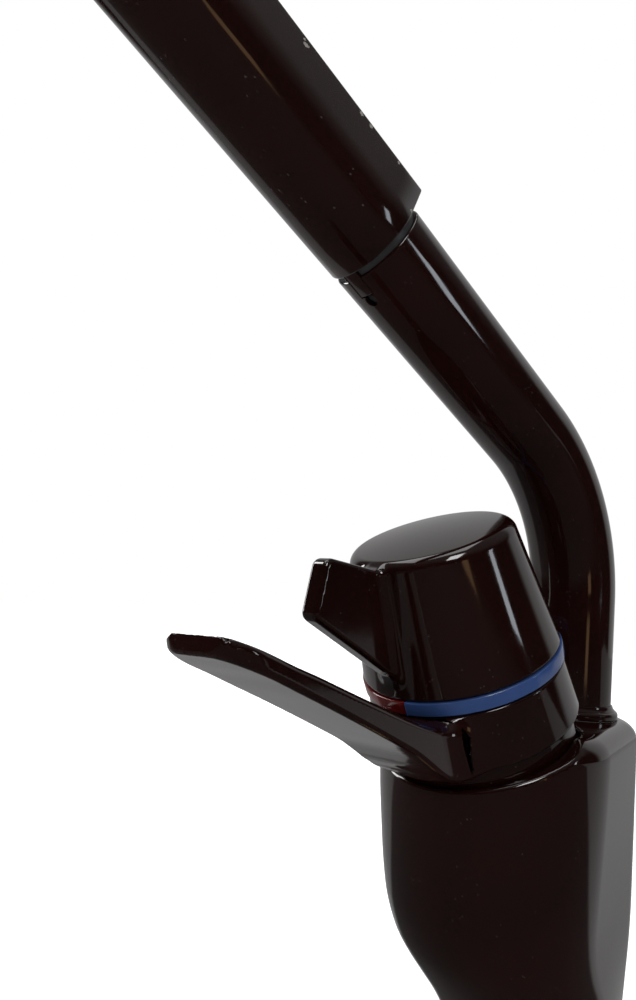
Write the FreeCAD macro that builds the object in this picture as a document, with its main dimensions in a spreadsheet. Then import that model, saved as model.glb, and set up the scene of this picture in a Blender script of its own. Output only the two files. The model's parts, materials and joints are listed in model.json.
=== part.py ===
import FreeCAD, Part
import os
import re
import Sketcher

# Pull-out kitchen tap, in millimetres. +Z is up and the spout points along -Y.
# The origin is the centre of the foot, on the worktop.

doc = FreeCAD.newDocument("pull_out_tap")
sheet = doc.addObject("Spreadsheet::Sheet", "Sizes")
sheet.Label = "Sizes"

# Driving dimensions: name, value, what it is
SIZES = [
    # the worktop and what clamps the tap to it
    ("worktop", 40, "thickness of the worktop that the tap is clamped to"),
    ("gasket_thick", 2, "base gasket"),
    ("shank_r", 16, "outside of the threaded shank"),
    ("shank_wall", 1.5, "wall of the threaded shank"),
    ("shank_grip", 12, "thread length of the shank inside the foot"),
    ("shank_below", 62, "reach of the shank below the worktop's top"),
    ("clamp_r", 26, "clamp washer and gasket"),
    ("clamp_gasket_thick", 3, "gasket under the worktop"),
    ("clamp_washer_thick", 2.5, "steel washer under it"),
    ("nut_flats", 46, "mounting nut across its flats"),
    ("nut_thick", 9, "mounting nut"),
    ("loose_fit", 0.6, "clearance of a washer on the shank"),
    # clearances that many pieces share
    ("running_fit", 0.06, "radial clearance of what turns"),
    ("seat_fit", 0.03, "radial clearance of what is pushed together"),
    ("free_gap", 0.3, "clearance of what only stands near"),
    # the casting
    ("foot_r", 24, "radius of the foot"),
    ("foot_edge", 1, "bevel of the foot's lower edge"),
    ("rear_r", 20, "radius of the casting behind the spout"),
    ("shoulder_below", 14.4, "shoulder around the spout, below the centre of the index ring"),
    ("shoulder_round", 7, "rounding of the shoulder"),
    ("column_rise", 30, "height where the foot starts to swell forwards"),
    ("belly_rise", 62, "height where the swelling ends"),
    ("belly_reach", 21.8, "centre of the front round at the belly"),
    ("belly_r", 27.7, "front round at the belly"),
    ("cup_reach", 25, "centre of the front round at the cup"),
    ("cup_front_r", 30.8, "front round at the cup"),
    ("foot_bore_r", 19.5, "room for the hoses in the foot"),
    ("foot_bore_top", 46, "ceiling of that room"),
    ("socket_r", 4.5, "wall of the hose sockets in that ceiling"),
    ("socket_depth", 12, "depth of the hose sockets"),
    ("inlet_side", 7.5, "hot and cold sockets from the middle"),
    ("inlet_front", 4.5, "hot and cold sockets in front of the foot's centre"),
    ("outlet_front", 14, "socket of the spray hose in front of the foot's centre"),
    ("drill_overlap", 0.4, "water ways run on into the hose sockets by this"),
    ("hose_way_r", 7.5, "way for the spray hose through the casting"),
    # the spout
    ("spout_back", 9.77, "spout axis behind the foot's centre"),
    ("tube_r", 12.5, "outside of the spout tube"),
    ("tube_wall", 1.5, "wall of the spout tube"),
    ("spout_socket_depth", 27, "depth of the spout socket"),
    ("bush_wall", 1.05, "wall of the spout bushes"),
    ("bush_tall", 8, "each spout bush"),
    ("spout_ring_tall", 1.6, "each sealing ring of the spout"),
    ("bend_above", 20.6, "start of the bend above the centre of the index ring"),
    ("bend_r", 53.97, "radius of the bend"),
    ("spout_slope", 28.17, "slope of the upper tube above the level"),
    ("joint_run", 74, "handset's end face from the end of the bend"),
    ("joint_gap", 1.7, "gap between the tube's lip and the handset"),
    ("lip_round", 0.6, "rounding of the tube's lip"),
    ("slide_washer_thick", 0.4, "washer under the collar"),
    ("collar_r", 14.5, "collar at the foot of the tube"),
    ("collar_tall", 3.6, "collar"),
    ("collar_line", 0.3, "lines turned into the collar"),
    ("lock_screw_r", 2.5, "screw that keeps the tube in its socket"),
    ("lock_groove", 0.7, "depth of the arc groove for that screw"),
    ("swivel_half", 70, "swivel of the spout to each side"),
    ("key_wide", 4.2, "key on the handset"),
    ("key_long", 6.8, "key on the handset"),
    ("key_deep", 1.0, "key on the handset, across the tube's wall"),
    ("key_gap", 0.2, "clearance of the key in its slot"),
    ("key_hole_r", 1.65, "round end of the key slot"),
    ("key_hole_run", 8.4, "round end of the slot from the handset's end face"),
    ("liner_wall", 0.95, "liner of the tube's mouth"),
    ("liner_long", 30, "liner of the tube's mouth"),
    # the handset
    ("handset_r", 12.75, "underside of the handset"),
    ("handset_long", 116, "handset shell"),
    ("handset_bore_r", 9.6, "bore of the handset"),
    ("seat_bore_r", 11, "wider bore at its lower end"),
    ("seat_deep", 19, "depth of that wider bore"),
    ("flat_half", 9.75, "half width of the handset's flat top"),
    ("flat_rise", 14.15, "flat top above the handset's axis, at its rear end"),
    ("flat_fall", 4.1, "fall of the flat top along the handset and its nose"),
    ("dock_wall", 1.5, "wall of the docking sleeve"),
    ("dock_below", 24, "reach of the docking sleeve into the tube"),
    ("flange_thick", 1, "flange of the hose connector"),
    ("hose_thread_r", 7, "wall of the hose connector's thread"),
    ("hose_thread_deep", 13, "depth of that thread"),
    ("connector_below", 22, "reach of the hose connector into the tube"),
    ("water_r", 5, "bore of the water tube"),
    ("water_wall", 1.2, "wall of the water tube"),
    ("water_plug", 5, "ends of the water tube in their sockets"),
    ("check_long", 16, "check valve"),
    ("check_bore_r", 2.6, "way through the check valve"),
    ("filter_thick", 0.9, "inlet filter"),
    ("nose_long", 34, "nose cap"),
    ("nose_round", 5, "rounding of the nose"),
    ("nose_spigot", 14, "nose cap inside the shell"),
    ("small_screw_r", 1.75, "screws of the lever and the nose"),
    ("outlet_ahead", 22, "outlet axis ahead of the shell's upper end"),
    ("outlet_boss_r", 12.2, "boss around the outlet"),
    ("outlet_drop", 21.2, "lower end of the boss below the handset's axis"),
    ("aerator_r", 10.6, "thread of the aerator housing"),
    ("aerator_deep", 10, "depth of that thread"),
    ("aerator_seal_thick", 1, "seal above the aerator housing"),
    ("aerator_flange", 2.8, "flange of the aerator housing"),
    ("aerator_wall", 1.9, "wall of the aerator housing"),
    ("aerator_lip", 1, "lip that holds the aerator insert"),
    ("jet_r", 0.7, "holes of the aerator insert"),
    ("jet_pitch", 2.9, "distance between the rings of those holes"),
    # the valve under the two controls, its levels measured along its leaning axis
    ("valve_reach", 40, "centre of the index ring in front of the foot's centre"),
    ("valve_rise", 130, "height of the centre of the index ring"),
    ("valve_lean", 26, "lean of the valve's axis to the front"),
    ("lip_level", -19.4, "rim of the cup"),
    ("pocket_r", 25.7, "recess for the shroud"),
    ("pocket_floor", -28, "floor of that recess"),
    ("neck_r", 22.8, "neck that the cartridge sits in"),
    ("neck_top", -6, "top of the neck"),
    ("cup_floor", -36.5, "floor under the cartridge"),
    ("cartridge_r", 18.5, "cartridge"),
    ("cartridge_shoulder", -15.4, "shoulder that the nut presses on"),
    ("cartridge_top", -9.5, "top of the cartridge housing"),
    ("tower_r", 12, "upper part of the cartridge housing"),
    ("nut_thread_r", 20.5, "thread of the cartridge nut"),
    ("nut_top", -8, "top of the cartridge nut"),
    ("base_top", -31, "top of the ported base"),
    ("ring_squeeze", 0.5, "gap under the base that the sealing rings fill"),
    ("ring_deep", 1, "seats of those rings in the base"),
    ("ring_wall", 1.6, "wall of those rings"),
    ("disc_r", 14.2, "ceramic discs"),
    ("disc_thick", 3.2, "each ceramic disc"),
    ("inner_disc_r", 9, "disc that sets the temperature"),
    ("port_r", 2, "water ways of the valve"),
    ("inlet_port_side", 6.3, "hot and cold water ways from the valve's axis"),
    ("mixed_port_side", 11.8, "mixed water way in the discs"),
    ("mixed_drill_side", 9.5, "mixed water way in the casting"),
    ("chamber_tall", 2.4, "mixing chamber above the discs"),
    ("sleeve_flange", 1.8, "flange of the flow sleeve"),
    ("skirt_r", 13.4, "skirt of the flow sleeve"),
    ("skirt_wall", 1, "wall of that skirt"),
    ("peg_r", 0.8, "pegs that drive the flow disc"),
    ("peg_long", 1.5, "those pegs"),
    ("sleeve_r", 8.5, "outside of the flow sleeve"),
    ("groove_deep", 1.1, "seats of the sealing rings on sleeve and spindle"),
    ("groove_tall", 1.6, "those seats"),
    ("sleeve_groove", -18.4, "lower edge of the seat on the sleeve"),
    ("spindle_groove", -14, "lower edge of the seat on the spindle"),
    ("spindle_r", 4.5, "temperature spindle"),
    ("spindle_top", 24, "top of the temperature spindle"),
    ("tang_wide", 2.6, "tang under the spindle"),
    ("tang_long", 7, "that tang, across"),
    ("tang_deep", 1.4, "that tang"),
    ("driver_level", -3.6, "level of the lever screw"),
    ("driver_thick", 3.2, "flow driver"),
    ("driver_r", 22.7, "flow driver"),
    ("shroud_r", 25, "outside of the shroud"),
    ("shroud_neck_r", 24.2, "shroud under the lever ring"),
    ("shroud_bore_r", 23.1, "inside of the shroud"),
    ("screw_play", 0.15, "play of the lever screw in the shroud's slot"),
    # the lever ring and its paddle
    ("lever_gap", 0.4, "gap above and below the lever ring"),
    ("lever_ring_r", 26.1, "upper edge of the lever ring"),
    ("lever_ring_foot_r", 27.2, "lower edge of the lever ring"),
    ("lever_ring_foot", -14.6, "level of that lower edge"),
    ("lever_bush_wall", 0.5, "liner between lever ring and shroud"),
    ("lever_turn", 9.4, "where the lever points at rest, from the front"),
    ("lever_open", 90, "turn of the lever from shut to open"),
    ("paddle_wide", 23.5, "width of the paddle"),
    ("paddle_foot_reach", 29, "lower end of the paddle's root"),
    ("root_reach", 36.4, "where the paddle leaves its root"),
    ("root_rise", 5.5, "top of the paddle there"),
    ("root_thick", 10.6, "upright thickness of the paddle there"),
    ("middle_reach", 51, "middle of the paddle"),
    ("middle_rise", 19.8, "top of the paddle there"),
    ("middle_thick", 7.2, "upright thickness of the paddle there"),
    ("bend_reach", 68, "bend near the paddle's tip"),
    ("bend_rise", 36.6, "top of the paddle there"),
    ("bend_thick", 5.5, "upright thickness of the paddle there"),
    ("tip_reach", 77.5, "tip of the paddle from the valve's axis"),
    ("tip_rise", 45.3, "top of the paddle's tip"),
    ("tip_thick", 4.3, "height of the paddle's end face"),
    ("tip_round", 8, "rounding of the paddle's tip, seen from above"),
    # the index ring
    ("index_r", 26.6, "outside of the index ring"),
    ("index_tall", 3.35, "height of the index ring"),
    ("index_wide", 2.1, "radial width of the coloured halves"),
    ("index_turn", 9.4, "where red meets blue, from the front"),
    ("carrier_spigot", 1.1, "carrier inside the shroud"),
    ("carrier_plate", 1.5, "plate of the carrier"),
    ("carrier_bore_r", 20.6, "inside of the carrier"),
    # the knob
    ("knob_gap", 0.35, "gap between index ring and knob"),
    ("knob_foot_r", 26.3, "lower edge of the knob"),
    ("knob_top_r", 21.6, "upper edge of the knob"),
    ("knob_top", 36.7, "upper edge above the index ring's lower edge"),
    ("knob_dome", 1.3, "rise of the knob's top"),
    ("knob_rim_round", 2.2, "rounding of the knob's upper edge"),
    ("knob_wall", 2.9, "wall of the knob"),
    ("knob_turn", 2, "where the fin points at rest, from the front"),
    ("boss_r", 9, "boss inside the knob"),
    ("boss_foot", 9.5, "lower end of that boss"),
    ("insert_wall", 1.5, "splined insert in that boss"),
    ("insert_foot", 10, "lower end of the insert"),
    ("knob_screw_r", 2, "grub screw of the knob"),
    ("knob_screw_level", 14, "level of that screw"),
    ("fin_thick", 5.6, "fin"),
    ("fin_top_reach", 36.2, "upper corner of the fin from the axis"),
    ("fin_top_rise", 44.5, "upper corner of the fin"),
    ("fin_low_reach", 44.4, "lower corner of the fin from the axis"),
    ("fin_low_rise", 33, "lower corner of the fin"),
    ("fin_root_top", 35.6, "upper end of the fin's root"),
    ("fin_root_low", 9.2, "lower end of the fin's root"),
    ("fin_corner", 2.5, "rounding of the fin's corners"),
    ("fin_edge", 1.1, "rounding of the fin's edges"),
]

NAMES = [name for name, value, note in SIZES]
for line, (name, value, note) in enumerate(SIZES, start=1):
    sheet.set("A%d" % line, note)
    sheet.set("B%d" % line, str(value))
    sheet.setAlias("B%d" % line, name)
doc.recompute()

PIECES = []


# Sizes that follow from the driving ones
DERIVED = {
    "shoulder_rise": "(valve_rise - shoulder_below)",
    "bend_start": "(valve_rise + bend_above)",
    "drill_depth": "((valve_rise + cos(valve_lean) * cup_floor - foot_bore_top - socket_depth)"
                   " / cos(valve_lean) + drill_overlap)",
}


def bound(text):
    """The same expression with every driving dimension read from the sheet."""
    def from_sheet(found):
        word = found.group(0)
        if word in DERIVED:
            return bound(DERIVED[word])
        return "Sizes." + word if word in NAMES else word
    return re.sub(r"[a-z_]+", from_sheet, str(text))


def number(text):
    """What such an expression is worth now."""
    return float(sheet.evalExpression(bound(text)))


def spot(across, back, up):
    return "create(<<vector>>; %s; %s; %s)" % (across, back, up)


def turn_about(axis, angle):
    vectors = {"X": "1; 0; 0", "Y": "0; 1; 0", "Z": "0; 0; 1"}
    return "create(<<rotation>>; create(<<vector>>; %s); %s)" % (vectors[axis], angle)


def placed(at, *turns):
    return "create(<<placement>>; %s; %s)" % (at, " * ".join(turns))


# The frames that the pieces are drawn in
VALVE = (spot(0, "-valve_reach", "valve_rise"), turn_about("X", "valve_lean"))
JOINT_BACK = "spout_back - bend_r * (1 - sin(spout_slope)) - joint_run * cos(spout_slope)"
JOINT_UP = "bend_start + bend_r * cos(spout_slope) + joint_run * sin(spout_slope)"
HANDSET = (spot(0, JOINT_BACK, JOINT_UP), turn_about("X", "90 - spout_slope"))
OUTLET_RUN = "handset_long + outlet_ahead"
OUTLET_BACK = JOINT_BACK + " - (handset_long + outlet_ahead) * cos(spout_slope)"
OUTLET_UP = JOINT_UP + " + (handset_long + outlet_ahead) * sin(spout_slope)"
FRAMES = {
    "foot": None,
    "spout": placed(spot(0, "spout_back", 0), turn_about("Z", "0")),
    "valve": placed(*VALVE),
    "index": placed(*VALVE, turn_about("Z", "index_turn")),
    "lever": placed(*VALVE, turn_about("Z", "lever_turn")),
    "knob": placed(*VALVE, turn_about("Z", "knob_turn")),
    "handset": placed(*HANDSET),
    "outlet": placed(spot(0, OUTLET_BACK, OUTLET_UP), turn_about("Z", "0")),
}


def new_body(name, frame):
    body = doc.addObject("PartDesign::Body", name)
    body.Label = name
    if hasattr(body, "AllowCompound"):
        body.AllowCompound = True
    if FRAMES[frame]:
        body.setExpression("Placement", bound(FRAMES[frame]))
    PIECES.append(body)
    return body


def new_sketch(body, plane, offset=None):
    """A sketch on one of the body's own planes, moved by an offset if there is one."""
    sketch = body.newObject("Sketcher::SketchObject", body.Name + "_sketch")
    planes = {feature.Role: feature for feature in body.Origin.OriginFeatures}
    sketch.AttachmentSupport = [(planes[plane], "")]
    sketch.MapMode = "FlatFace"
    if offset:
        sketch.setExpression("AttachmentOffset", bound(offset))
    return sketch


def bind(sketch, constraint, text):
    """Add a constraint whose value is read from the sheet."""
    index = sketch.addConstraint(constraint)
    sketch.setExpression("Constraints[%d]" % index, bound(text))


def draw_outline(sketch, outline):
    """A closed outline of straight edges through (across, up) corners."""
    corners = [FreeCAD.Vector(number(across), number(up), 0) for across, up in outline]
    edges = []
    for here, there in zip(corners, corners[1:] + corners[:1]):
        edges.append(sketch.addGeometry(Part.LineSegment(here, there), False))
    for edge, following in zip(edges, edges[1:] + edges[:1]):
        sketch.addConstraint(Sketcher.Constraint("Coincident", edge, 2, following, 1))
    for edge, corner, (across, up) in zip(edges, corners, outline):
        bind(sketch, Sketcher.Constraint("DistanceX", -1, 1, edge, 1, corner.x), across)
        bind(sketch, Sketcher.Constraint("DistanceY", -1, 1, edge, 1, corner.y), up)


def draw_circle(sketch, radius, across="0", up="0"):
    centre = FreeCAD.Vector(number(across), number(up), 0)
    normal = FreeCAD.Vector(0, 0, 1)
    ring = sketch.addGeometry(Part.Circle(centre, normal, number(radius)), False)
    bind(sketch, Sketcher.Constraint("Radius", ring, number(radius)), radius)
    bind(sketch, Sketcher.Constraint("DistanceX", -1, 1, ring, 3, centre.x), across)
    bind(sketch, Sketcher.Constraint("DistanceY", -1, 1, ring, 3, centre.y), up)


def turned(body, kind, outline, offset=None, plane="XZ_Plane", angle="360", middle=False, back=False):
    """Turn an outline of (radius, height) corners about the sketch's upright axis."""
    sketch = new_sketch(body, plane, offset)
    draw_outline(sketch, outline)
    feature = body.newObject("PartDesign::" + kind, body.Name + "_turned")
    feature.Profile = sketch
    feature.ReferenceAxis = (sketch, ["V_Axis"])
    feature.Midplane = middle
    feature.Reversed = back
    feature.setExpression("Angle", bound(angle))
    return feature


def pushed(body, kind, sketch, length, back=False, both=False):
    """Pad or pocket a sketch by a length, to one side or to both."""
    feature = body.newObject("PartDesign::" + kind, body.Name + "_" + kind.lower())
    feature.Profile = sketch
    feature.SideType = "Symmetric" if both else "One side"
    feature.Reversed = back
    feature.setExpression("Length", bound(length))
    return feature


def drilled(body, plane, holes, length, back=False, offset=None):
    """Round holes (radius, across, up) from a plane, to one side of it."""
    sketch = new_sketch(body, plane, offset)
    for hole in holes:
        draw_circle(sketch, *hole)
    return pushed(body, "Pocket", sketch, length, back)


def rounded(body, size, wanted):
    """Round the edges of the body so far that a test picks."""
    doc.recompute()
    base = body.Tip
    names = ["Edge%d" % (index + 1) for index, edge in enumerate(base.Shape.Edges) if wanted(edge)]
    feature = body.newObject("PartDesign::Fillet", body.Name + "_round")
    feature.Base = (base, names)
    feature.setExpression("Radius", bound(size))
    return feature


def near(value, text, slack=0.02):
    return abs(value - number(text)) < slack


def is_ring(edge, radius, level):
    """True for a whole circle about the upright axis, of this radius and at this level."""
    if edge.Curve.TypeId != "Part::GeomCircle":
        return False
    return near(edge.Curve.Radius, radius) and near(edge.Curve.Center.z, level)


def turned_piece(name, frame, outline):
    body = new_body(name, frame)
    turned(body, "Revolution", outline)
    return body


def ring_outline(inner, outer, low, high):
    return [(inner, low), (outer, low), (outer, high), (inner, high)]


def ring_piece(name, frame, inner, outer, low, high):
    return turned_piece(name, frame, ring_outline(inner, outer, low, high))


def between(start, end, share):
    return "(%s) + ((%s) - (%s)) * %s" % (start, end, start, share)


def along_valve(level):
    """Expression of the point on the valve's axis at this level."""
    return spot(0, "-valve_reach - sin(valve_lean) * (%s)" % level,
                "valve_rise + cos(valve_lean) * (%s)" % level)


def hull_plan(body, offset, front, front_r, back, back_r):
    """A plan of two rounds on the sketch's upright axis, joined by tangents."""
    sketch = new_sketch(body, "XY_Plane", offset)
    front_y, front_radius = number(front), number(front_r)
    back_y, back_radius = number(back), number(back_r)
    slant = (front_radius - back_radius) / (back_y - front_y)
    across = (1 - slant ** 2) ** 0.5
    right, left = FreeCAD.Vector(across, slant, 0), FreeCAD.Vector(-across, slant, 0)
    down, up = FreeCAD.Vector(0, -1, 0), FreeCAD.Vector(0, 1, 0)
    front_centre, back_centre = FreeCAD.Vector(0, front_y, 0), FreeCAD.Vector(0, back_y, 0)

    def add_round(centre, radius, first, middle, last):
        points = [centre + way * radius for way in (first, middle, last)]
        return sketch.addGeometry(Part.Arc(*points), False)

    def add_side(start, end):
        return sketch.addGeometry(Part.LineSegment(start, end), False)

    front_arc = add_round(front_centre, front_radius, left, down, right)
    right_side = add_side(front_centre + right * front_radius, back_centre + right * back_radius)
    back_arc = add_round(back_centre, back_radius, right, up, left)
    left_side = add_side(back_centre + left * back_radius, front_centre + left * front_radius)
    chain = [front_arc, right_side, back_arc, left_side]
    for before, after in zip(chain, chain[1:] + chain[:1]):
        sketch.addConstraint(Sketcher.Constraint("Tangent", before, 2, after, 1))
    for arc, radius, centre in ((front_arc, front_r, front), (back_arc, back_r, back)):
        sketch.addConstraint(Sketcher.Constraint("PointOnObject", arc, 3, -2))
        bind(sketch, Sketcher.Constraint("Radius", arc, number(radius)), radius)
        bind(sketch, Sketcher.Constraint("DistanceY", -1, 1, arc, 3, number(centre)), centre)
    return sketch


def loft(body, sections, ruled=False):
    feature = body.newObject("PartDesign::AdditiveLoft", body.Name + "_loft")
    feature.Profile = sections[0]
    feature.Sections = sections[1:]
    feature.Ruled = ruled
    return feature


# What stays fixed on the worktop

INLET_PORTS = [("port_r", "inlet_port_side", "0"), ("port_r", "-inlet_port_side", "0")]


def casting_plan(body, level, start, end, share, inset="0"):
    """The casting's plan at one level, part of the way from one shape to another."""
    front, front_r, back, back_r = [between(low, high, share) for low, high in zip(start, end)]
    offset = placed(spot(0, 0, level), turn_about("Z", "0"))
    return hull_plan(body, offset, front, front_r + " - " + inset, back, back_r + " - " + inset)


def body_casting():
    body = new_body("body_casting", "foot")
    foot = ("0", "foot_r", "foot_r * 0.23", "foot_r * 0.83")
    belly = ("-belly_reach", "belly_r", "spout_back", "rear_r")
    cup = ("-cup_reach", "cup_front_r", "spout_back", "rear_r")
    # Each plan: its level, and how far it has gone from one shape to the next
    rim = "shoulder_rise - shoulder_round"
    plans = [("gasket_thick + foot_edge", foot, belly, 0), ("column_rise * 0.6", foot, belly, 0),
             ("column_rise", foot, belly, 0.03),
             (between("column_rise", "belly_rise", 0.44), foot, belly, 0.41),
             (between("column_rise", "belly_rise", 0.69), foot, belly, 0.73),
             ("belly_rise", foot, belly, 1),
             (between("belly_rise", rim, 0.25), belly, cup, 0.4),
             (between("belly_rise", rim, 0.75), belly, cup, 0.95),
             (rim, belly, cup, 1)]
    loft(body, [casting_plan(body, level, start, end, share) for level, start, end, share in plans])
    shoulder = [casting_plan(body, rim, belly, cup, 1)]
    for turn in (20, 40, 60, 80):
        level = "%s + shoulder_round * sin(%d)" % (rim, turn)
        shoulder.append(casting_plan(body, level, belly, cup, 1,
                                     "shoulder_round * (1 - cos(%d))" % turn))
    shoulder.append(casting_plan(body, "shoulder_rise", belly, cup, 1, "shoulder_round"))
    loft(body, shoulder, ruled=True)
    loft(body, [casting_plan(body, "gasket_thick", foot, belly, 0, "foot_edge"),
                casting_plan(body, "gasket_thick + foot_edge", foot, belly, 0)], ruled=True)

    # The cup for the valve, with its rim, the recess for the shroud and the threaded neck
    upright = placed(*VALVE, turn_about("X", "90"))
    turned(body, "Groove", ring_outline("0", "90", "lip_level", "90"), upright, "XY_Plane")
    turned(body, "Groove", ring_outline("0", "pocket_r", "pocket_floor", "lip_level + 1"),
           upright, "XY_Plane")
    turned(body, "Revolution", ring_outline("0", "neck_r", "pocket_floor - 1", "neck_top"),
           upright, "XY_Plane")
    cup_bore = [("0", "cup_floor"), ("cartridge_r + free_gap", "cup_floor"),
                ("cartridge_r + free_gap", "cartridge_shoulder"),
                ("nut_thread_r", "cartridge_shoulder"), ("nut_thread_r", "neck_top + 1"),
                ("0", "neck_top + 1")]
    turned(body, "Groove", cup_bore, upright, "XY_Plane")

    # The socket of the spout, the way for its hose and the room in the foot
    at_shoulder = placed(spot(0, "spout_back", "shoulder_rise"), turn_about("Z", "0"))
    drilled(body, "XY_Plane", [("tube_r + running_fit + bush_wall",)], "spout_socket_depth",
            offset=at_shoulder)
    drilled(body, "XY_Plane", [("hose_way_r",)], "shoulder_rise - foot_bore_top + 1",
            offset=at_shoulder)
    grip_top = "gasket_thick + shank_grip"
    foot_bore = [("0", "gasket_thick - 1"), ("shank_r + seat_fit", "gasket_thick - 1"),
                 ("shank_r + seat_fit", grip_top), ("foot_bore_r", grip_top),
                 ("foot_bore_r", "foot_bore_top"), ("0", "foot_bore_top")]
    turned(body, "Groove", foot_bore)

    # Hose sockets in the ceiling of that room and the water ways down from the cup
    at_ceiling = placed(spot(0, 0, "foot_bore_top"), turn_about("Z", "0"))
    drilled(body, "XY_Plane", [("socket_r", "inlet_side", "-inlet_front"),
                               ("socket_r", "-inlet_side", "-inlet_front"),
                               ("socket_r", "0", "-outlet_front")],
            "socket_depth", back=True, offset=at_ceiling)
    at_cup_floor = placed(along_valve("cup_floor"), turn_about("X", "valve_lean"))
    drilled(body, "XY_Plane", INLET_PORTS + [("port_r", "0", "-mixed_drill_side")],
            "drill_depth", offset=at_cup_floor)
    behind_spout = placed(spot(0, 0, "-spout_back"), turn_about("Z", "0"))
    drilled(body, "XZ_Plane", [("lock_screw_r", "0", LOCK_LEVEL)], "rear_r + 10",
            offset=behind_spout)


LOCK_LEVEL = "shoulder_rise - spout_socket_depth / 2"


def base_gasket():
    ring_piece("base_gasket", "foot", "shank_r + loose_fit", "foot_r - 0.8", "0", "gasket_thick")


def mounting_shank():
    ring_piece("mounting_shank", "foot", "shank_r - shank_wall", "shank_r", "-shank_below",
               "gasket_thick + shank_grip")


def clamp_rings():
    gasket_low = "-worktop - clamp_gasket_thick"
    bore = "shank_r + loose_fit"
    ring_piece("clamp_gasket", "foot", bore, "clamp_r", gasket_low, "-worktop")
    ring_piece("clamp_washer", "foot", bore, "clamp_r", gasket_low + " - clamp_washer_thick",
               gasket_low)


def mounting_nut():
    body = new_body("mounting_nut", "foot")
    top = "-worktop - clamp_gasket_thick - clamp_washer_thick"
    sketch = new_sketch(body, "XY_Plane", placed(spot(0, 0, top), turn_about("Z", "0")))
    corner = "nut_flats / sqrt(3) * %s(%d)"
    draw_outline(sketch, [(corner % ("cos", side * 60), corner % ("sin", side * 60))
                          for side in range(6)])
    draw_circle(sketch, "shank_r + seat_fit")
    pushed(body, "Pad", sketch, "nut_thick", back=True)


# Levels of the discs along the valve's axis
DISCS_LOW = "base_top + disc_thick"
DISCS_TOP = "base_top + disc_thick * 2"


def valve_base():
    low = "cup_floor + ring_squeeze"
    body = ring_piece("valve_base", "valve", "0", "cartridge_r", low, "base_top")
    at_top = placed(spot(0, 0, "base_top"), turn_about("Z", "0"))
    drilled(body, "XY_Plane", INLET_PORTS + [("port_r", "0", "-mixed_port_side")],
            "base_top - cup_floor", offset=at_top)
    at_low = placed(spot(0, 0, low), turn_about("Z", "0"))
    drilled(body, "XY_Plane", [("port_r", "0", "-mixed_drill_side")], "base_top - cup_floor",
            back=True, offset=at_low)
    seats = [("port_r + free_gap + ring_wall",) + place for place in RING_PLACES]
    drilled(body, "XY_Plane", seats, "ring_deep", back=True, offset=at_low)


RING_PLACES = [("inlet_port_side", "0"), ("-inlet_port_side", "0"), ("0", "-mixed_drill_side")]


def inlet_o_rings():
    body = new_body("inlet_o_rings", "valve")
    sketch = new_sketch(body, "XY_Plane", placed(spot(0, 0, "cup_floor"), turn_about("Z", "0")))
    for place in RING_PLACES:
        draw_circle(sketch, "port_r + free_gap", *place)
        draw_circle(sketch, "port_r + free_gap + ring_wall - seat_fit", *place)
    pushed(body, "Pad", sketch, "ring_squeeze + ring_deep")


def cartridge_housing():
    bore, sleeve_bore = "disc_r + free_gap", "sleeve_r + running_fit"
    roof = DISCS_TOP + " + chamber_tall + sleeve_flange + free_gap"
    turned_piece("cartridge_housing", "valve", [
        (bore, "base_top"), ("cartridge_r", "base_top"), ("cartridge_r", "cartridge_shoulder"),
        ("tower_r", "cartridge_shoulder"), ("tower_r", "cartridge_top"),
        (sleeve_bore, "cartridge_top"), (sleeve_bore, roof), (bore, roof)])


def cartridge_nut():
    ring_piece("cartridge_nut", "valve", "tower_r + free_gap", "nut_thread_r - seat_fit",
               "cartridge_shoulder", "nut_top")


def fixed_disc():
    body = ring_piece("fixed_disc", "valve", "0", "disc_r", "base_top", DISCS_LOW)
    at_top = placed(spot(0, 0, DISCS_LOW), turn_about("Z", "0"))
    drilled(body, "XY_Plane", INLET_PORTS + [("port_r", "0", "-mixed_port_side")],
            "disc_thick + 1", offset=at_top)


def valve_shroud():
    step = "lever_ring_foot - lever_gap"
    body = turned_piece("valve_shroud", "valve", [
        ("shroud_bore_r", "pocket_floor"), ("shroud_r", "pocket_floor"), ("shroud_r", step),
        ("shroud_neck_r", step), ("shroud_neck_r", "0"), ("shroud_bore_r", "0")])
    # The slot that lets the lever screw through and stops the lever at both ends
    to_slot = placed(spot(0, 0, 0), turn_about("Y", "lever_turn + 90 + lever_open / 2"))
    half = "(small_screw_r + screw_play)"
    turned(body, "Groove", ring_outline("shroud_bore_r - 2", "shroud_r + 2",
                                        "driver_level - " + half, "driver_level + " + half),
           to_slot, angle="lever_open + 12", middle=True)


def index_carrier():
    inner = "index_r - index_wide - seat_fit"
    turned_piece("index_carrier", "valve", [
        ("carrier_bore_r", "-carrier_spigot"), ("shroud_bore_r - seat_fit", "-carrier_spigot"),
        ("shroud_bore_r - seat_fit", "0"), (inner, "0"), (inner, "index_tall"),
        ("shroud_bore_r - 1", "index_tall"), ("shroud_bore_r - 1", "carrier_plate"),
        ("carrier_bore_r", "carrier_plate")])


def index_halves():
    for name, mirrored in (("hot_index", False), ("cold_index", True)):
        body = new_body(name, "index")
        turned(body, "Revolution", ring_outline("index_r - index_wide", "index_r", "0", "index_tall"),
               plane="YZ_Plane", angle="180", back=mirrored)


def spout_bushes():
    inner, outer = "tube_r + running_fit", "tube_r + running_fit + bush_wall - seat_fit"
    floor = "shoulder_rise - spout_socket_depth"
    ring_piece("spout_bush_lower", "spout", inner, outer, floor, floor + " + bush_tall")
    ring_piece("spout_bush_upper", "spout", inner, outer, "shoulder_rise - bush_tall",
               "shoulder_rise")
    ring_piece("slide_washer", "spout", inner, "collar_r - free_gap", "shoulder_rise",
               "shoulder_rise + slide_washer_thick")


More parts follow.
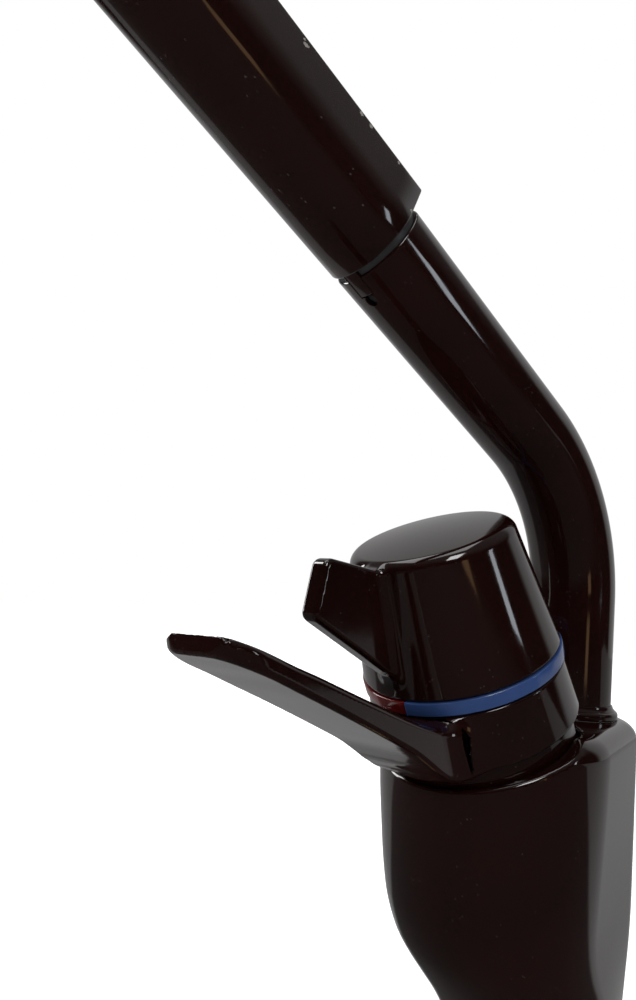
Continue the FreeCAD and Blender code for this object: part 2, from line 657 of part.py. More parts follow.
def spout_o_rings():
    """Two rings, each against the inner end of its bush."""
    body = new_body("spout_o_rings", "spout")
    inner, outer = "tube_r + running_fit", "tube_r + running_fit + bush_wall - seat_fit"
    low = "shoulder_rise - spout_socket_depth + bush_tall"
    high = "shoulder_rise - bush_tall - spout_ring_tall"
    for level in (low, high):
        turned(body, "Revolution", ring_outline(inner, outer, level, level + " + spout_ring_tall"))


def spout_lock_screw():
    body = new_body("spout_lock_screw", "spout")
    tip = "tube_r - lock_groove + free_gap"
    to_tip = placed(spot(0, 0, "-(%s)" % tip), turn_about("Z", "0"))
    sketch = new_sketch(body, "XZ_Plane", to_tip)
    draw_circle(sketch, "lock_screw_r - seat_fit", "0", LOCK_LEVEL)
    pushed(body, "Pad", sketch, "rear_r - 1 - (%s)" % tip, back=True)


# What swivels with the spout

def spout_tube():
    body = new_body("spout_tube", "foot")
    foot_level = "shoulder_rise - spout_socket_depth + free_gap"
    ring = new_sketch(body, "XY_Plane", placed(spot(0, "spout_back", foot_level),
                                               turn_about("Z", "0")))
    draw_circle(ring, "tube_r")
    draw_circle(ring, "tube_r - tube_wall")
    path = new_sketch(body, "YZ_Plane")
    run = "(joint_run - joint_gap)"
    bend_y = "spout_back - bend_r * (1 - sin(spout_slope))"
    bend_z = "bend_start + bend_r * cos(spout_slope)"
    ends = [("spout_back", foot_level), ("spout_back", "bend_start"), (bend_y, bend_z),
            (bend_y + " - %s * cos(spout_slope)" % run, bend_z + " + %s * sin(spout_slope)" % run)]
    low, start, end, lip = [FreeCAD.Vector(number(y), number(z), 0) for y, z in ends]
    centre = FreeCAD.Vector(start.x - number("bend_r"), start.y, 0)
    way = (start - centre) + (end - centre)
    middle = centre + way * (number("bend_r") / way.Length)
    stem = path.addGeometry(Part.LineSegment(low, start), False)
    bend = path.addGeometry(Part.Arc(start, middle, end), False)
    arm = path.addGeometry(Part.LineSegment(end, lip), False)
    path.addConstraint(Sketcher.Constraint("Tangent", stem, 2, bend, 1))
    path.addConstraint(Sketcher.Constraint("Tangent", bend, 2, arm, 1))
    for edge, point, (across, up) in ((stem, 1, ends[0]), (stem, 2, ends[1]), (arm, 2, ends[3])):
        bind(path, Sketcher.Constraint("DistanceX", -1, 1, edge, point, number(across)), across)
        bind(path, Sketcher.Constraint("DistanceY", -1, 1, edge, point, number(up)), up)
    bind(path, Sketcher.Constraint("Radius", bend, number("bend_r")), "bend_r")
    tube = body.newObject("PartDesign::AdditivePipe", "spout_tube_pipe")
    tube.Profile = ring
    tube.Spine = (path, [])
    rounded(body, "lip_round", lambda edge: is_lip(edge, lip))

    # The key slot in the underside of the mouth, with its round end
    slot = new_sketch(body, "XY_Plane", placed(*HANDSET, turn_about("X", "90")))
    half = "(key_wide / 2 + key_gap)"
    draw_outline(slot, [("-" + half, "-key_long - key_gap"), (half, "-key_long - key_gap"),
                        (half, "1"), ("-" + half, "1")])
    pushed(body, "Pocket", slot, "tube_r + 5", back=True)
    drilled(body, "XY_Plane", [("key_hole_r", "0", "-key_hole_run")], "tube_r + 5", back=True,
            offset=placed(*HANDSET, turn_about("X", "90")))
    # The arc groove for the lock screw
    reach = "(lock_screw_r + screw_play)"
    to_axis = placed(spot("spout_back", 0, 0), turn_about("Z", "0"))
    turned(body, "Groove", ring_outline("tube_r - lock_groove", "tube_r + 2",
                                        LOCK_LEVEL + " - " + reach, LOCK_LEVEL + " + " + reach),
           to_axis, "YZ_Plane", "swivel_half * 2 + 24", middle=True)


def is_lip(edge, lip):
    """True for the outer edge of the tube's mouth."""
    if edge.Curve.TypeId != "Part::GeomCircle" or not near(edge.Curve.Radius, "tube_r"):
        return False
    return (edge.Curve.Center - FreeCAD.Vector(0, lip.x, lip.y)).Length < 0.05


def spout_collar():
    low = "shoulder_rise + slide_washer_thick"
    inner = "tube_r + seat_fit"
    outline = [(inner, low), ("collar_r - collar_line", low)]
    for share in (0.12, 0.34, 0.46, 0.68):
        outline.append(("collar_r", low + " + collar_tall * %s" % share))
        if share == 0.34:
            outline.append(("collar_r - collar_line", low + " + collar_tall * 0.4"))
    outline += [("collar_r - collar_line", low + " + collar_tall * 0.74"),
                ("collar_r - collar_line", low + " + collar_tall * 0.88"),
                ("collar_r - collar_line * 3", low + " + collar_tall"),
                (inner, low + " + collar_tall")]
    turned_piece("spout_collar", "spout", outline)


def mouth_liner():
    outer = "tube_r - tube_wall - seat_fit"
    top = "-joint_gap"
    ring_piece("mouth_liner", "handset", outer + " - liner_wall", outer, top + " - liner_long", top)


# What pulls out with the handset

def flat_at(run):
    return "flat_rise - flat_fall * (%s) / (handset_long + nose_long)" % run


def handset_plan(body, run, inset="0"):
    """Round below, flat on top: the handset's outline at this distance from its end face."""
    belly_r, top_half = "handset_r - " + inset, "flat_half - " + inset
    top_rise = flat_at(run) + " - " + inset
    sketch = new_sketch(body, "XY_Plane", placed(spot(0, 0, run), turn_about("Z", "0")))
    radius, half, rise = number(belly_r), number(top_half), number(top_rise)
    corners = [FreeCAD.Vector(*xy, 0) for xy in
               ((-radius, 0), (radius, 0), (half, rise), (-half, rise))]
    left, right, right_top, left_top = corners
    belly = sketch.addGeometry(Part.Arc(left, FreeCAD.Vector(0, -radius, 0), right), False)
    sides = [sketch.addGeometry(Part.LineSegment(*ends), False) for ends in
             ((right, right_top), (right_top, left_top), (left_top, left))]
    chain = [belly] + sides
    for before, after in zip(chain, chain[1:] + chain[:1]):
        sketch.addConstraint(Sketcher.Constraint("Coincident", before, 2, after, 1))
    sketch.addConstraint(Sketcher.Constraint("Coincident", belly, 3, -1, 1))
    sketch.addConstraint(Sketcher.Constraint("PointOnObject", belly, 1, -1))
    sketch.addConstraint(Sketcher.Constraint("PointOnObject", belly, 2, -1))
    bind(sketch, Sketcher.Constraint("Radius", belly, radius), belly_r)
    for edge, value, across in ((sides[0], half, top_half), (sides[1], -half, "-(%s)" % top_half)):
        bind(sketch, Sketcher.Constraint("DistanceX", -1, 1, edge, 2, value), across)
        bind(sketch, Sketcher.Constraint("DistanceY", -1, 1, edge, 2, rise), top_rise)
    return sketch


NOSE_SCREW_RUN = "handset_long - nose_spigot / 2"


def handset_shell():
    body = new_body("handset_shell", "handset")
    loft(body, [handset_plan(body, "0"), handset_plan(body, "handset_long")])
    turned(body, "Groove", [("0", "-1"), ("seat_bore_r", "-1"), ("seat_bore_r", "seat_deep"),
                            ("handset_bore_r", "seat_deep"),
                            ("handset_bore_r", "handset_long + 1"), ("0", "handset_long + 1")])
    key = new_sketch(body, "XY_Plane", placed(spot(0, 0, 1), turn_about("Z", "0")))
    draw_outline(key, [("-key_wide / 2", "-tube_r"), ("key_wide / 2", "-tube_r"),
                       ("key_wide / 2", "key_deep - tube_r"),
                       ("-key_wide / 2", "key_deep - tube_r")])
    pushed(body, "Pad", key, "key_long + 1", back=True)
    drilled(body, "XZ_Plane", [("small_screw_r", "0", NOSE_SCREW_RUN)], "handset_r + 5", back=True)


def docking_sleeve():
    inner = "connector_outer"
    guide = "tube_r - tube_wall - seat_fit - liner_wall - free_gap"
    seat = "seat_bore_r - seat_fit"
    rim = "tube_r - key_deep - seat_fit * 3"
    bore = guide + " - dock_wall"
    turned_piece("docking_sleeve", "handset", [
        (bore, "-dock_below"), (guide + " - 0.5", "-dock_below"), (guide, "1 - dock_below"),
        (guide, "-joint_gap"), (rim, "-joint_gap"), (rim, "0"), (seat, "0"),
        (seat, "seat_deep - flange_thick"), (bore, "seat_deep - flange_thick")])


CONNECTOR_R = "tube_r - tube_wall - seat_fit * 2 - liner_wall - free_gap - dock_wall"
THREAD_TOP = "hose_thread_deep - connector_below"


def hose_connector():
    plug = "seat_deep - water_plug"
    turned_piece("hose_connector", "handset", [
        ("hose_thread_r", "-connector_below"), (CONNECTOR_R, "-connector_below"),
        (CONNECTOR_R, "seat_deep - flange_thick"),
        ("seat_bore_r - seat_fit", "seat_deep - flange_thick"),
        ("seat_bore_r - seat_fit", "seat_deep"),
        ("water_r + water_wall + seat_fit", "seat_deep"),
        ("water_r + water_wall + seat_fit", plug), ("water_r", plug), ("water_r", THREAD_TOP),
        ("hose_thread_r", THREAD_TOP)])


def check_valve():
    ring_piece("check_valve", "handset", "check_bore_r", "water_r - seat_fit",
               THREAD_TOP + " + 1", THREAD_TOP + " + 1 + check_long")


def ring_of_holes(radius, pitch, rings):
    """One hole in the middle and rings of six, twelve and so on around it."""
    holes = [(radius,)]
    for ring in range(1, rings + 1):
        for place in range(6 * ring):
            turn = 360 * place / (6 * ring)
            holes.append((radius, "%s * %d * cos(%s)" % (pitch, ring, turn),
                          "%s * %d * sin(%s)" % (pitch, ring, turn)))
    return holes


def inlet_filter():
    body = ring_piece("inlet_filter", "handset", "0", "hose_thread_r - seat_fit",
                      THREAD_TOP + " - filter_thick", THREAD_TOP)
    at_top = placed(spot(0, 0, THREAD_TOP), turn_about("Z", "0"))
    drilled(body, "XY_Plane", ring_of_holes("jet_r", "water_r / 2.6", 2), "filter_thick + 1",
            offset=at_top)


def water_tube():
    ring_piece("water_tube", "handset", "water_r", "water_r + water_wall",
               "seat_deep - water_plug", "handset_long - nose_spigot + water_plug")


def nose_cap():
    body = new_body("nose_cap", "handset")
    tip = "handset_long + nose_long"
    round_start = tip + " - nose_round"
    loft(body, [handset_plan(body, "handset_long"), handset_plan(body, round_start)], ruled=True)
    nose = [handset_plan(body, round_start)]
    for turn in (18, 36, 54, 72, 90):
        nose.append(handset_plan(body, round_start + " + nose_round * sin(%d)" % turn,
                                 "nose_round * (1 - cos(%d))" % turn))
    loft(body, nose, ruled=True)
    start = "handset_long - nose_spigot"
    turned(body, "Revolution", ring_outline("0", "handset_bore_r - seat_fit", start,
                                            "handset_long + 1"))
    # The boss hangs straight down, so its axis leans by the slope against the handset's
    down = placed(spot(0, 0, OUTLET_RUN), turn_about("X", "spout_slope"))
    turned(body, "Revolution", ring_outline("0", "outlet_boss_r", "-outlet_drop", "0"), down,
           "XY_Plane")
    plug = start + " + water_plug"
    turned(body, "Groove", [
        ("0", start + " - 1"), ("water_r + water_wall + seat_fit", start + " - 1"),
        ("water_r + water_wall + seat_fit", plug), ("water_r", plug), ("water_r", OUTLET_RUN),
        ("0", OUTLET_RUN)])
    seal_top = "aerator_deep - outlet_drop"
    turned(body, "Groove", [
        ("0", "-outlet_drop - 1"), ("aerator_r", "-outlet_drop - 1"), ("aerator_r", seal_top),
        ("water_r", seal_top), ("water_r", "0"), ("0", "0")], down, "XY_Plane")
    below = placed(spot(0, 0, "water_r + water_wall"), turn_about("Z", "0"))
    drilled(body, "XZ_Plane", [("small_screw_r", "0", NOSE_SCREW_RUN)], "handset_r", back=True,
            offset=below)


def nose_screw():
    body = new_body("nose_screw", "handset")
    inner = "water_r + water_wall + free_gap"
    sketch = new_sketch(body, "XZ_Plane", placed(spot(0, 0, inner), turn_about("Z", "0")))
    draw_circle(sketch, "small_screw_r - seat_fit", "0", NOSE_SCREW_RUN)
    pushed(body, "Pad", sketch, "handset_r - 0.4 - (%s)" % inner)


def aerator():
    low = "-outlet_drop - aerator_flange"
    thread, bore = "aerator_r - seat_fit * 4", "aerator_r - aerator_wall"
    lip = bore + " - aerator_lip / 2"
    top = "aerator_deep - outlet_drop - aerator_seal_thick"
    turned_piece("aerator_housing", "outlet", [
        (lip, low), ("outlet_boss_r - 0.6", low), ("outlet_boss_r - 0.6", "-outlet_drop"),
        (thread, "-outlet_drop"), (thread, top), (bore, top), (bore, low + " + aerator_lip"),
        (lip, low + " + aerator_lip")])
    insert = ring_piece("aerator_insert", "outlet", "0", bore + " - seat_fit",
                        low + " + aerator_lip", top)
    at_top = placed(spot(0, 0, top), turn_about("Z", "0"))
    drilled(insert, "XY_Plane", ring_of_holes("jet_r", "jet_pitch", 2),
            "aerator_deep + aerator_flange + 1", offset=at_top)
    ring_piece("aerator_seal", "outlet", "water_r + free_gap", thread, top,
               top + " + aerator_seal_thick")


# What turns with the lever

RING_LOW, RING_TOP = "lever_ring_foot", "-lever_gap"
BUSH_INNER = "shroud_neck_r + running_fit"
BUSH_OUTER = "shroud_neck_r + running_fit + lever_bush_wall"


def flow_lever():
    body = new_body("flow_lever", "lever")
    turned(body, "Revolution", [(BUSH_OUTER, RING_LOW), ("lever_ring_foot_r", RING_LOW),
                                ("lever_ring_r", RING_TOP), (BUSH_OUTER, RING_TOP)])
    side = new_sketch(body, "YZ_Plane")
    top = [("root_reach", "root_rise"), ("middle_reach", "middle_rise"),
           ("bend_reach", "bend_rise"), ("tip_reach", "tip_rise")]
    thick = ["root_thick", "middle_thick", "bend_thick", "tip_thick"]
    outline = [("-lever_ring_r", "-2.8"), ("2 - lever_ring_r", "-2.8"),
               ("2 - lever_ring_r", "lever_ring_foot + 0.5"),
               ("-paddle_foot_reach", "lever_ring_foot + 1")]
    outline += [("-" + reach, rise + " - " + deep) for (reach, rise), deep in zip(top, thick)]
    outline += [("-" + reach, rise) for reach, rise in reversed(top)]
    draw_outline(side, outline)
    pushed(body, "Pad", side, "paddle_wide", both=True)
    corners = new_sketch(body, "XY_Plane")
    for side in ("", "-"):
        draw_corner(corners, side)
    pushed(body, "Pocket", corners, "tip_rise * 2", back=True)
    turned(body, "Groove", ring_outline("0", BUSH_OUTER + " + seat_fit", "lever_ring_foot - 1",
                                        "0"))
    drilled(body, "XZ_Plane", [("small_screw_r + seat_fit", "0", "driver_level")],
            "lever_ring_r + 5")


def draw_corner(sketch, side):
    """What is cut from one corner of the paddle's tip to leave it round."""
    start, ahead = "tip_round - tip_reach", "-tip_reach"
    inner, outer = side + "(paddle_wide / 2 - tip_round)", side + "(paddle_wide / 2)"
    beyond, past = side + "(paddle_wide / 2 + 1)", "-tip_reach - 1"
    corners = [(outer, start), (inner, ahead), (inner, past), (beyond, past), (beyond, start)]
    points = [FreeCAD.Vector(number(across), number(up), 0) for across, up in corners]
    centre = FreeCAD.Vector(number(inner), number(start), 0)
    way = (points[0] - centre) + (points[1] - centre)
    middle = centre + way * (number("tip_round") / way.Length)
    arc = sketch.addGeometry(Part.Arc(points[0], middle, points[1]), False)
    first, last = (1, 2) if side else (2, 1)
    edges = [sketch.addGeometry(Part.LineSegment(*ends), False)
             for ends in zip(points[1:], points[2:] + points[:1])]
    sketch.addConstraint(Sketcher.Constraint("Coincident", arc, last, edges[0], 1))
    sketch.addConstraint(Sketcher.Constraint("Coincident", edges[-1], 2, arc, first))
    for edge, following in zip(edges, edges[1:]):
        sketch.addConstraint(Sketcher.Constraint("Coincident", edge, 2, following, 1))
    for edge, (across, up) in zip(edges, corners[1:]):
        bind(sketch, Sketcher.Constraint("DistanceX", -1, 1, edge, 1, number(across)), across)
        bind(sketch, Sketcher.Constraint("DistanceY", -1, 1, edge, 1, number(up)), up)
    bind(sketch, Sketcher.Constraint("DistanceX", -1, 1, edges[-1], 2, number(outer)), outer)
    bind(sketch, Sketcher.Constraint("DistanceY", -1, 1, edges[-1], 2, number(start)), start)
    bind(sketch, Sketcher.Constraint("Radius", arc, number("tip_round")), "tip_round")


def lever_bush():
    body = ring_piece("lever_bush", "lever", BUSH_INNER, BUSH_OUTER, RING_LOW, RING_TOP)
    drilled(body, "XZ_Plane", [("small_screw_r + seat_fit", "0", "driver_level")],
            "lever_ring_r + 5")


def lever_screw():
    body = new_body("lever_screw", "lever")
    inner = "driver_r - 3.2"
    sketch = new_sketch(body, "XZ_Plane", placed(spot(0, 0, "-(%s)" % inner), turn_about("Z", "0")))
    draw_circle(sketch, "small_screw_r", "0", "driver_level")
    pushed(body, "Pad", sketch, "lever_ring_r - 0.3 - (%s)" % inner, back=True)


def flow_driver():
    half = "driver_thick / 2"
    body = ring_piece("flow_driver", "lever", "sleeve_r + seat_fit", "driver_r",
                      "driver_level - " + half, "driver_level + " + half)
    at_hole = placed(spot(0, 0, "3.6 - driver_r"), turn_about("Z", "0"))
    drilled(body, "XZ_Plane", [("small_screw_r + seat_fit", "0", "driver_level")], "5",
            offset=at_hole)


def flow_sleeve():
    flange = DISCS_TOP + " + chamber_tall"
    top = "driver_level + driver_thick / 2"
    bore = "spindle_r + running_fit"
    seat_top = "sleeve_groove + groove_tall"
    body = turned_piece("flow_sleeve", "valve", [
        (bore, flange), ("skirt_r - skirt_wall", flange), ("skirt_r - skirt_wall", DISCS_TOP),
        ("skirt_r", DISCS_TOP), ("skirt_r", flange + " + sleeve_flange"),
        ("sleeve_r", flange + " + sleeve_flange"), ("sleeve_r", "sleeve_groove"),
        ("sleeve_r - groove_deep", "sleeve_groove"), ("sleeve_r - groove_deep", seat_top),
        ("sleeve_r", seat_top), ("sleeve_r", top), (bore, top)])
    pegs = new_sketch(body, "XY_Plane", placed(spot(0, 0, DISCS_TOP + " + 1"),
                                               turn_about("Z", "0")))
    for place in ("skirt_r - peg_r - seat_fit", "peg_r + seat_fit - skirt_r"):
        draw_circle(pegs, "peg_r", "0", place)
    pushed(body, "Pad", pegs, "peg_long + 1", back=True)


def driver_o_ring():
    ring_piece("driver_o_ring", "valve", "sleeve_r - groove_deep + seat_fit",
               "sleeve_r + running_fit / 2", "sleeve_groove + seat_fit",
               "sleeve_groove + groove_tall - seat_fit")


def flow_disc():
    body = ring_piece("flow_disc", "valve", "inner_disc_r + free_gap", "disc_r", DISCS_LOW,
                      DISCS_TOP)
    at_top = placed(spot(0, 0, DISCS_TOP), turn_about("Z", "0"))
    drilled(body, "XY_Plane", [("port_r", "-mixed_port_side", "0")], "disc_thick + 1",
            offset=at_top)
    seats = [("peg_r + seat_fit", "0", place) for place in
             ("skirt_r - peg_r - seat_fit", "peg_r + seat_fit - skirt_r")]
    drilled(body, "XY_Plane", seats, "peg_long + seat_fit", offset=at_top)


# What turns with the knob

KNOB_LOW = "index_tall + knob_gap"


def temperature_knob():
    body = new_body("temperature_knob", "knob")
    roof = "knob_top - knob_wall"
    bore = "spindle_r + seat_fit + insert_wall + seat_fit"
    bore_top = "spindle_top + 0.8"
    turned(body, "Revolution", [
        ("0", KNOB_LOW), ("knob_foot_r", KNOB_LOW), ("knob_top_r", "knob_top"),
        ("0", "knob_top + knob_dome")])
    rounded(body, "knob_rim_round", lambda edge: is_ring(edge, "knob_top_r", "knob_top"))
    fin = new_sketch(body, "YZ_Plane")
    draw_outline(fin, [("-fin_top_reach", "fin_top_rise"), ("3 - knob_top_r", "fin_root_top"),
                       ("1.6 - knob_foot_r", "fin_root_low"), ("-fin_low_reach", "fin_low_rise")])
    pushed(body, "Pad", fin, "fin_thick", both=True)
    rounded(body, "fin_corner", is_fin_corner)
    rounded(body, "fin_edge", is_fin_edge)
    turned(body, "Groove", [
        (bore, "-1"), ("knob_foot_r - knob_wall", "-1"), ("knob_foot_r - knob_wall", KNOB_LOW),
        ("knob_top_r - knob_wall", roof), ("boss_r", roof), ("boss_r", "boss_foot"),
        (bore, "boss_foot")])
    turned(body, "Groove", ring_outline("0", bore, "-1", bore_top))
    drilled(body, "XZ_Plane", [("knob_screw_r + seat_fit", "0", "knob_screw_level")],
            "knob_foot_r + 5")


def is_fin_corner(edge):
    """True for the two outer corners of the fin, edges right across it."""
    outside = all(vertex.Y < -number("fin_top_reach") + 0.02 for vertex in edge.Vertexes)
    return outside and abs(edge.BoundBox.XLength - number("fin_thick")) < 0.01


def is_fin_edge(edge):
    """True for the long edges of the fin on both its faces."""
    flat = all(near(abs(vertex.X), "fin_thick / 2") for vertex in edge.Vertexes)
    outside = edge.BoundBox.YMin < -number("knob_foot_r") - 1
    return flat and outside and edge.BoundBox.XLength < 0.01


def knob_insert():
    body = ring_piece("knob_insert", "knob", "spindle_r + seat_fit",
                      "spindle_r + seat_fit + insert_wall", "insert_foot", "spindle_top")
    drilled(body, "XZ_Plane", [("knob_screw_r + seat_fit", "0", "knob_screw_level")], "boss_r")


def knob_screw():
    body = new_body("knob_screw", "knob")
    inner = "spindle_r + running_fit"
    sketch = new_sketch(body, "XZ_Plane", placed(spot(0, 0, "-(%s)" % inner), turn_about("Z", "0")))
    draw_circle(sketch, "knob_screw_r", "0", "knob_screw_level")
    pushed(body, "Pad", sketch, "boss_r - (%s)" % inner, back=True)


def temperature_spindle():
    seat_top = "spindle_groove + groove_tall"
    body = turned_piece("temperature_spindle", "knob", [
        ("0", DISCS_TOP), ("spindle_r", DISCS_TOP), ("spindle_r", "spindle_groove"),
        ("spindle_r - groove_deep", "spindle_groove"), ("spindle_r - groove_deep", seat_top),
        ("spindle_r", seat_top), ("spindle_r", "spindle_top"), ("0", "spindle_top")])
    tang = new_sketch(body, "XY_Plane", placed(spot(0, 0, DISCS_TOP + " + 1"),
                                               turn_about("Z", "0")))
    draw_rectangle(tang, "tang_wide", "tang_long")
    pushed(body, "Pad", tang, "tang_deep + 1", back=True)


def draw_rectangle(sketch, wide, long):
    draw_outline(sketch, [("-(%s) / 2" % wide, "-(%s) / 2" % long),
                          ("(%s) / 2" % wide, "-(%s) / 2" % long),
                          ("(%s) / 2" % wide, "(%s) / 2" % long),
                          ("-(%s) / 2" % wide, "(%s) / 2" % long)])


def spindle_o_ring():
    ring_piece("spindle_o_ring", "knob", "spindle_r - groove_deep + seat_fit",
               "spindle_r + running_fit / 2", "spindle_groove + seat_fit",
               "spindle_groove + groove_tall - seat_fit")


def temperature_disc():
    body = ring_piece("temperature_disc", "knob", "0", "inner_disc_r", DISCS_LOW, DISCS_TOP)
    at_top = placed(spot(0, 0, DISCS_TOP), turn_about("Z", "0"))
    seat = new_sketch(body, "XY_Plane", at_top)
    draw_rectangle(seat, "tang_wide + seat_fit * 2", "tang_long + seat_fit * 2")
    pushed(body, "Pocket", seat, "tang_deep + seat_fit")
    ways = [("port_r", "inlet_port_side * %s" % share, "-inlet_port_side * 0.64")
            for share in (0.77, -0.77)]
    drilled(body, "XY_Plane", ways, "disc_thick + 1", offset=at_top)


for build in (body_casting, base_gasket, mounting_shank, clamp_rings, mounting_nut, valve_base,
              inlet_o_rings, cartridge_housing, cartridge_nut, fixed_disc, valve_shroud,
              index_carrier, index_halves, spout_bushes, spout_o_rings, spout_lock_screw,
              spout_tube, spout_collar, mouth_liner, handset_shell, docking_sleeve,
              hose_connector, check_valve, inlet_filter, water_tube, nose_cap, nose_screw,
              aerator, flow_lever, lever_bush, lever_screw, flow_driver, flow_sleeve,
              driver_o_ring, flow_disc, temperature_knob, knob_insert, knob_screw,
              temperature_spindle, spindle_o_ring, temperature_disc):
    build()
doc.recompute()

faults = []
for item in doc.Objects:
    if "Invalid" in item.State or "Error" in item.State:
        faults.append("%s is %s" % (item.Label, item.State))
for piece in PIECES:
    if piece.Shape.isNull() or not piece.Shape.isValid() or not piece.Shape.Solids:
        faults.append("%s has no valid shape" % piece.Label)
if faults:
    raise RuntimeError("; ".join(faults))

os.makedirs("parts", exist_ok=True)
for piece in PIECES:
    piece.Shape.exportStep("parts/%s.step" % piece.Label)
    print(piece.Label, len(piece.Shape.Solids), round(piece.Shape.Volume, 1))
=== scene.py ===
import json
import math
import bmesh
import bpy
import numpy as np
from mathutils import Matrix, Vector


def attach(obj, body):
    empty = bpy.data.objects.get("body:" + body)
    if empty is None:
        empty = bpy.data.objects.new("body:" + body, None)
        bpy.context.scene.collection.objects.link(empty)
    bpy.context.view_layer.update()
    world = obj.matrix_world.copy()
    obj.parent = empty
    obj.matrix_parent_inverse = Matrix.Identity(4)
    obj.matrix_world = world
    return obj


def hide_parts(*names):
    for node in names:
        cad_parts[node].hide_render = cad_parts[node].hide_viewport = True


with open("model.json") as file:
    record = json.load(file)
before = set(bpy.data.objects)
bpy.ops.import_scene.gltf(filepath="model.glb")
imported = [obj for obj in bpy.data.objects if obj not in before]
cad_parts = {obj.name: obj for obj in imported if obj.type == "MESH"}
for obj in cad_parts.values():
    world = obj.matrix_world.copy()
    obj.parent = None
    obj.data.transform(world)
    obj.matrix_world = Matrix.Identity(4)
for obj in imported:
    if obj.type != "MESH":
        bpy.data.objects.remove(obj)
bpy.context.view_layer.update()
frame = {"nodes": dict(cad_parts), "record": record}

# The gasket under the foot is a soft black ring that keeps water off the worktop's hole. It is
# moulded rubber, with a dull skin and a little dust in it.
MM = 0.001
GASKET_HOLE_R, GASKET_R, GASKET_THICK = 16.3, 23.2, 1
body_of = {node: body for body, held in frame["record"]["behaviour"]["bodies"].items()
           for node in held}


def put(tree, kind, inputs=(), **settings):
    """A shader node with its settings and its inputs, which are values or other outputs."""
    node = tree.nodes.new(kind)
    for key, value in settings.items():
        setattr(node, key, value)
    for key, value in dict(inputs).items():
        if isinstance(value, bpy.types.NodeSocket):
            tree.links.new(value, node.inputs[key])
        else:
            node.inputs[key].default_value = value
    return node


def make_surface():
    """Shared detail: clouds, smears, fine specks and a grain, all from the piece's own place."""
    group = bpy.data.node_groups.new("surface", "ShaderNodeTree")
    for name, kind, start in (("Size", "Float", 1.0), ("Stretch", "Vector", (1, 1, 1)),
                              ("Grain", "Float", 0.00001)):
        socket = group.interface.new_socket(name, in_out="INPUT", socket_type="NodeSocket" + kind)
        socket.default_value = start
    for name, kind in (("Cloud", "Float"), ("Smear", "Float"), ("Specks", "Float"),
                       ("Normal", "Vector")):
        group.interface.new_socket(name, in_out="OUTPUT", socket_type="NodeSocket" + kind)
    given, out = put(group, "NodeGroupInput"), put(group, "NodeGroupOutput")
    where = put(group, "ShaderNodeTexCoord").outputs["Object"]
    spread = put(group, "ShaderNodeMapping", {"Vector": where, "Scale": given.outputs["Stretch"]})
    fine = put(group, "ShaderNodeVectorMath", {0: spread.outputs[0], 3: given.outputs["Size"]},
               operation="SCALE").outputs[0]
    cloud = put(group, "ShaderNodeTexNoise", {"Vector": fine, "Scale": 34, "Detail": 5})
    smear = put(group, "ShaderNodeTexNoise", {"Vector": fine, "Scale": 150, "Detail": 7,
                                              "Roughness": 0.62, "Distortion": 0.6})
    specks = put(group, "ShaderNodeTexVoronoi", {"Vector": fine, "Scale": 900})
    dots = put(group, "ShaderNodeMapRange", {"Value": specks.outputs["Distance"], "From Min": 0.06,
                                             "From Max": 0.16, "To Min": 1, "To Max": 0})
    some = put(group, "ShaderNodeMapRange", {"Value": smear.outputs[0], "From Min": 0.52,
                                             "From Max": 0.6})
    dusted = put(group, "ShaderNodeMath", {0: dots.outputs[0], 1: some.outputs[0]},
                 operation="MULTIPLY")
    grain = put(group, "ShaderNodeTexNoise", {"Vector": fine, "Scale": 520, "Detail": 2})
    bump = put(group, "ShaderNodeBump", {"Height": grain.outputs[0], "Strength": 1.0,
                                         "Distance": given.outputs["Grain"]})
    for name, source in (("Cloud", cloud.outputs[0]), ("Smear", smear.outputs[0]),
                         ("Specks", dusted.outputs[0]), ("Normal", bump.outputs[0])):
        group.links.new(source, out.inputs[name])
    return group


SURFACE = make_surface()


def finish(name, colour, shade, rough, metal=0.0, size=1.0, stretch=(1, 1, 1), grain=0.00001,
           dust=0.35):
    """A material between two colours, with uneven gloss, its grain and specks of dust."""
    material = bpy.data.materials.new(name)
    material.use_nodes = True
    tree = material.node_tree
    shader = tree.nodes["Principled BSDF"]
    detail = put(tree, "ShaderNodeGroup", {}, node_tree=SURFACE)
    for key, value in (("Size", size), ("Stretch", stretch), ("Grain", grain)):
        detail.inputs[key].default_value = value
    even = put(tree, "ShaderNodeMapRange", {"Value": detail.outputs["Cloud"], "From Min": 0.3,
                                            "From Max": 0.7})
    base = put(tree, "ShaderNodeMixRGB", {0: even.outputs[0], 1: (*colour, 1), 2: (*shade, 1)})
    fleck = put(tree, "ShaderNodeMath", {0: detail.outputs["Specks"], 1: dust},
                operation="MULTIPLY")
    dusty = [min(1, c * 0.6 + 0.12) for c in colour]
    whole = put(tree, "ShaderNodeMixRGB", {0: fleck.outputs[0], 1: base.outputs[0],
                                           2: (*dusty, 1)})
    uneven = put(tree, "ShaderNodeMapRange", {"Value": detail.outputs["Smear"], "From Min": 0.35,
                                              "From Max": 0.7, "To Min": rough[0],
                                              "To Max": rough[1]})
    shader.inputs["Metallic"].default_value = metal
    tree.links.new(whole.outputs[0], shader.inputs["Base Color"])
    tree.links.new(uneven.outputs[0], shader.inputs["Roughness"])
    tree.links.new(detail.outputs["Normal"], shader.inputs["Normal"])
    return material


def stood(name, data):
    """A mesh, lamp or camera as an object that stands in the scene."""
    obj = bpy.data.objects.new(name, data)
    bpy.context.scene.collection.objects.link(obj)
    return obj


def new_piece(name, mesh, node, material):
    """A finished piece in place of a CAD node, moving with the same body."""
    obj = stood(name, mesh)
    mesh.materials.clear()
    mesh.materials.append(material)
    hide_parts(node)
    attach(obj, body_of[node])


